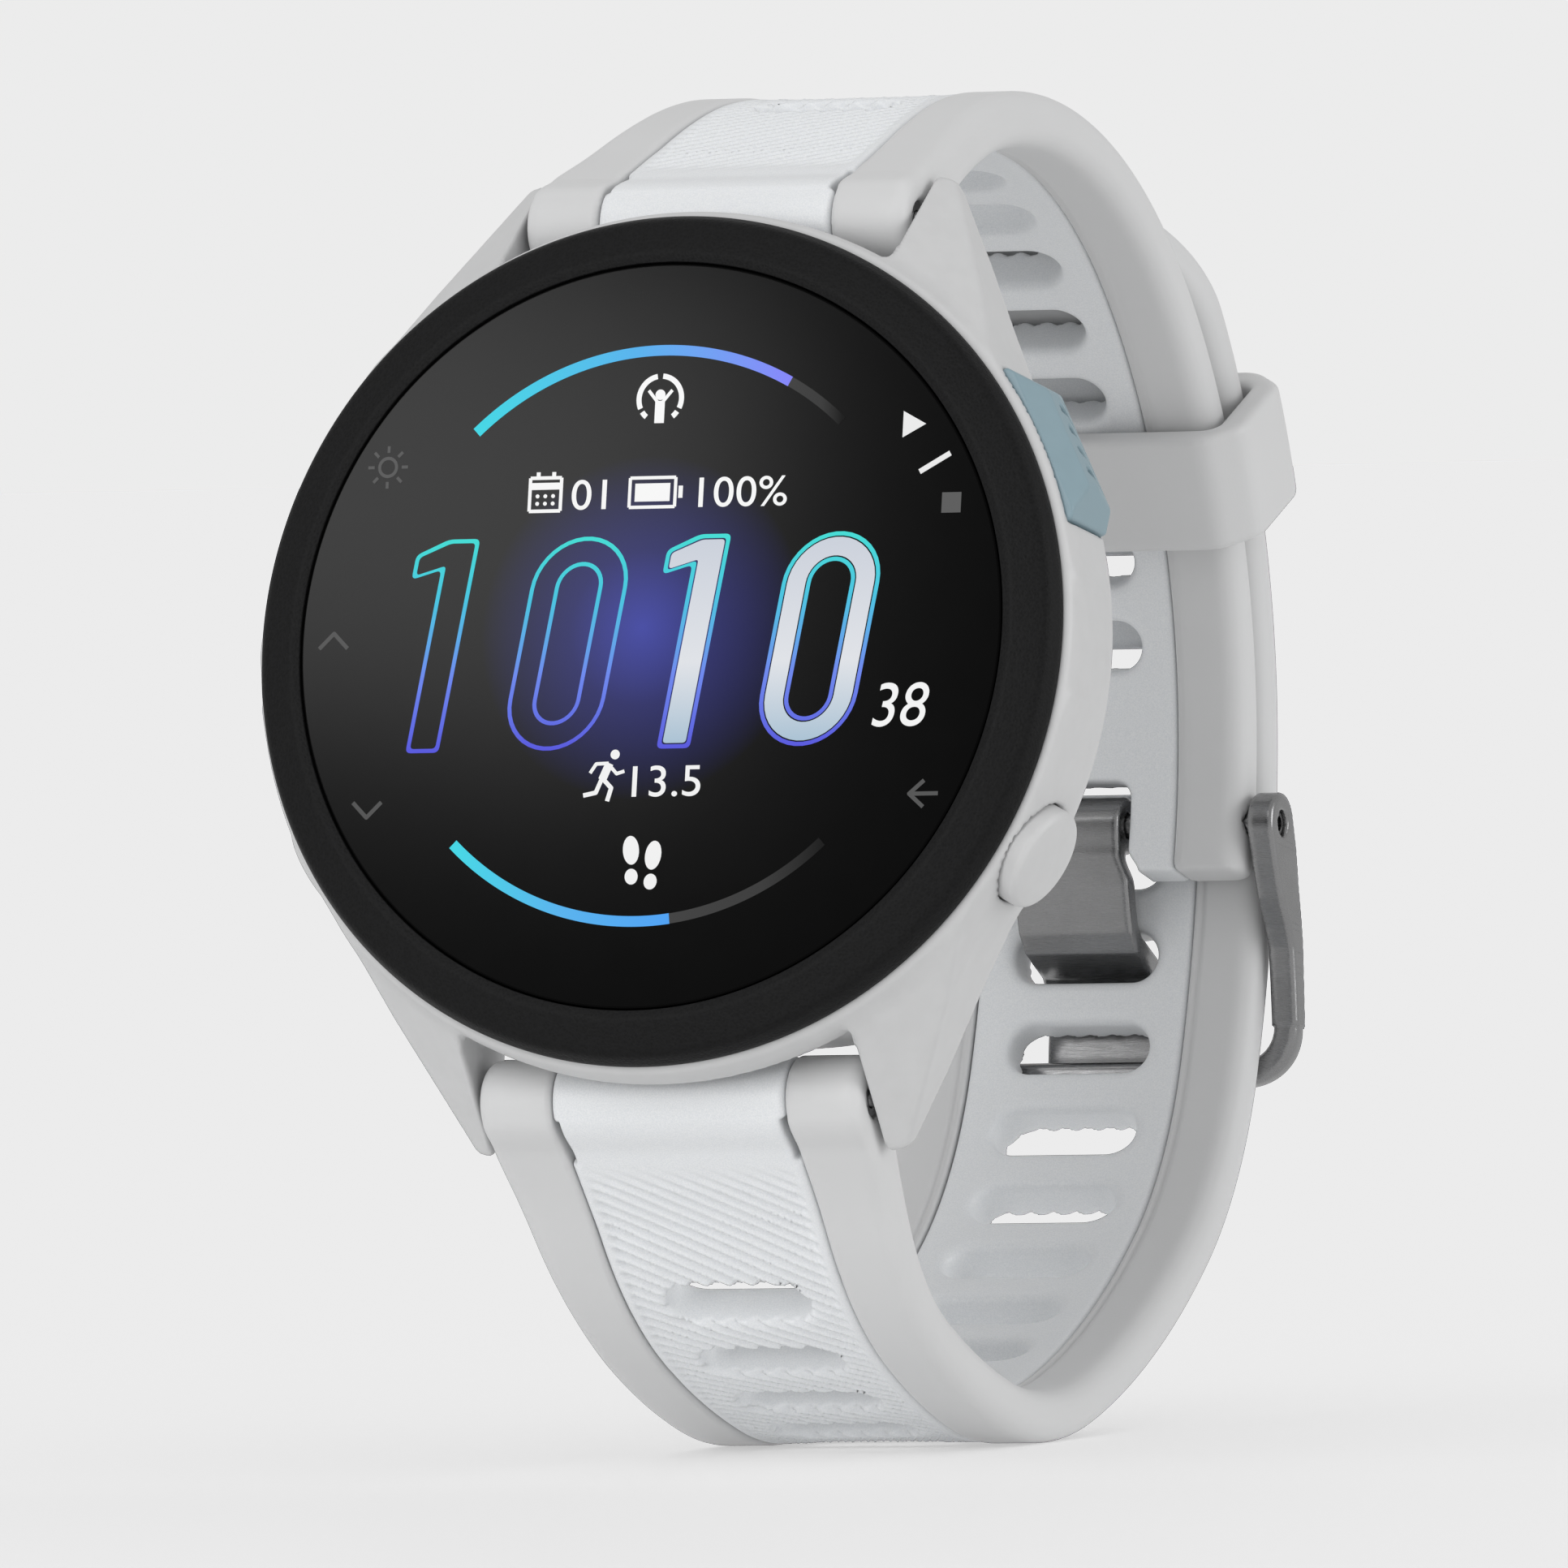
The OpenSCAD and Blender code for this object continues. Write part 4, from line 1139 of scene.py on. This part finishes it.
def area_light(name, at, aim, size, power):
    data = bpy.data.lights.new(name, "AREA")
    data.shape = "RECTANGLE"
    data.size, data.size_y = size
    data.energy = power
    light = linked(name, data)
    light.location = at
    light.rotation_euler = (aim - at).to_track_quat("-Z", "Y").to_euler()
    return light


def make_stage():
    bpy.ops.mesh.primitive_plane_add(size=6, location=(0, 0, cad_box[0].z))
    floor = bpy.context.active_object
    floor.name = "floor"
    m = Shader("floor_white")
    m.vary((FLOOR_GREY,) * 3, 0.01, 3, 0.6, 0.03)
    floor.data.materials.append(m.material)
    floor.is_shadow_catcher = True
    return floor


def make_world():
    """Even soft light all round, and a plain light grey where the camera sees past the watch."""
    world = bpy.data.worlds.new("studio")
    bpy.context.scene.world = world
    world.use_nodes = True
    nodes, links = world.node_tree.nodes, world.node_tree.links
    lamp = nodes["Background"]
    lamp.inputs["Strength"].default_value = WORLD_LIGHT
    lamp.inputs["Color"].default_value = (1, 1, 1, 1)
    seen = nodes.new("ShaderNodeBackground")
    seen.inputs["Color"].default_value = (SEEN_GREY, SEEN_GREY, SEEN_GREY, 1)
    path, mix = nodes.new("ShaderNodeLightPath"), nodes.new("ShaderNodeMixShader")
    links.new(path.outputs["Is Camera Ray"], mix.inputs[0])
    links.new(lamp.outputs[0], mix.inputs[1])
    links.new(seen.outputs[0], mix.inputs[2])
    links.new(mix.outputs[0], nodes["World Output"].inputs["Surface"])
    bpy.context.scene.view_settings.view_transform = "Standard"


def group_of(name, objects, state):
    """A collection for light linking, whose objects are all included or all excluded."""
    group = bpy.data.collections.new(name)
    for obj in objects:
        group.objects.link(obj)
    for entry in group.collection_objects:
        entry.light_linking.link_state = state
    return group


def make_lights(axes, floor, lens):
    """Soft boxes for the watch, a wash for the floor, and a sheen for the glass."""
    centre = Vector((0, 0, 0))

    def beside(spot):
        return sum((axis * v for axis, v in zip(axes, spot)), centre)

    for name, (spot, size, power) in SOFT_BOXES.items():
        light = area_light(name, beside(spot), centre, size, power)
        others = group_of(name + "_not_on", [floor, lens], "EXCLUDE")
        light.light_linking.receiver_collection = others
    wash = area_light("wash", beside(WASH_AT), centre, WASH_SIZE, WASH_POWER)
    wash.light_linking.receiver_collection = group_of("wash_only_on", [floor], "INCLUDE")
    wash.light_linking.blocker_collection = group_of("wash_only_past", [floor], "INCLUDE")
    face = Vector(to_row((0, LENS_Y, 0)))
    at = face + turn_to_row(SHEEN_WAY) * SHEEN_FAR + turn_to_row(SHEEN_OFFSET)
    sheen = area_light("sheen", at, face, SHEEN_SIZE, SHEEN_POWER)
    sheen.light_linking.receiver_collection = group_of("sheen_only_on", [lens], "INCLUDE")


# ---- The watch ----


def make_straps():
    pearl = pearl_silicone()
    grey = silicone("strap_grey", (0.66, 0.662, 0.665), 0.48, 0.08)
    for name, route, thick, length, reach, row, tail, cell in (
            ("upper_strap", UPPER, UPPER_T, UPPER_LEN, UPPER_LEN, UPPER_ROW, False, 0.16),
            ("lower_strap", LOWER, LOWER_T, LOWER_LEN - TIP_LEN, LOWER_LEN, LOWER_ROW, True, 0.19)):
        strap_piece(name + "_core", lambda q: core_field(q, thick, length, row, tail), route,
                    (length, 6.6), (cell, 0.15, 0.15), pearl)
        strap_piece(name + "_rails", lambda q: rails_field(q, thick, length, tail), route,
                    (reach, 10.6), (0.3, 0.2, 0.2), grey)
    middle = math.radians(KEEPER_HEADING + 90)
    centre = KEEPER_R * np.array([0, math.cos(middle), math.sin(middle)]) + (0, *HUB)
    reach = np.array([12, 7.5, 7.5])
    piece("keeper_loop", skin(keeper_field, centre - reach, centre + reach, 0.2), grey, "keeper")


def make_case():
    shell = polymer("case_polymer", (0.59, 0.592, 0.595), 0.45)
    piece("case_shell", skin(case_field, (-22.3, 1.2, -24.9), (22.3, 11.0, 24.9), 0.2), shell,
          "watch")
    sharpen(piece("bezel", bezel_mesh(), bezel_polymer(), "watch"))
    lens = piece("lens", lens_mesh(), cover_glass(), "watch")
    sharpen(lens)
    for name, (angle, face) in ROUND_BUTTONS.items():
        round_button(name + "_button", angle, face, shell)
    blue = polymer("start_blue", (0.235, 0.335, 0.38), 0.42)
    a, out, reach = math.radians(START_AT), 20.2, np.array([6.5, 3, 6.5])
    at = np.array([out * math.cos(a), BUTTON_Y, out * math.sin(a)])
    piece("start_stop_button", skin(start_button_field, at - reach, at + reach, 0.12), blue,
          "start_stop_button")
    return shell, lens


def make_buckle():
    metal = dark_metal()
    for name, field, half, cell, body in (
            ("buckle_frame", buckle_frame_field, 11.5, 0.15, "frame"),
            ("buckle_tongue", tongue_field, 3.1, 0.13, "tongue")):
        mesh = skin(field, (-half, PIN[0] - 2, PIN[1] - 15.5), (half, PIN[0] + 6.5, PIN[1] + 2),
                    cell)
        piece(name, mesh, metal, body)
    sharpen(piece("buckle_pin", pin_mesh(), metal, "watch"))


def dress_frame(shell):
    """Materials for the CAD nodes that are kept as they are."""
    steel = bright_metal("steel", (0.5, 0.5, 0.505), 0.3)
    copper = bright_metal("gold_plate", (0.85, 0.62, 0.28), 0.25)
    green = board_green()
    black = polymer("black_polymer", (0.02, 0.02, 0.021), 0.5)
    glass = polymer("sensor_glass", (0.01, 0.01, 0.013), 0.08)
    by_slot = {"light_polymer": shell, "steel": steel, "copper": copper, "circuit_board": green,
               "sensor_glass": glass, "cell_foil": steel}
    slots = {row["node"]: row["material_slot"] for row in frame["record"]["subparts"]}
    for name, node in frame["nodes"].items():
        if node.hide_render:
            continue
        node.data.materials.clear()
        node.data.materials.append(by_slot.get(slots[name], black))


camera_axes = make_camera()
studio_floor = make_stage()
make_world()
shell_material, lens_piece = make_case()
make_lights(camera_axes, studio_floor, lens_piece)
make_straps()
make_buckle()
dress_frame(shell_material)
big_digits()
progress_arcs()
small_figures()
legends()
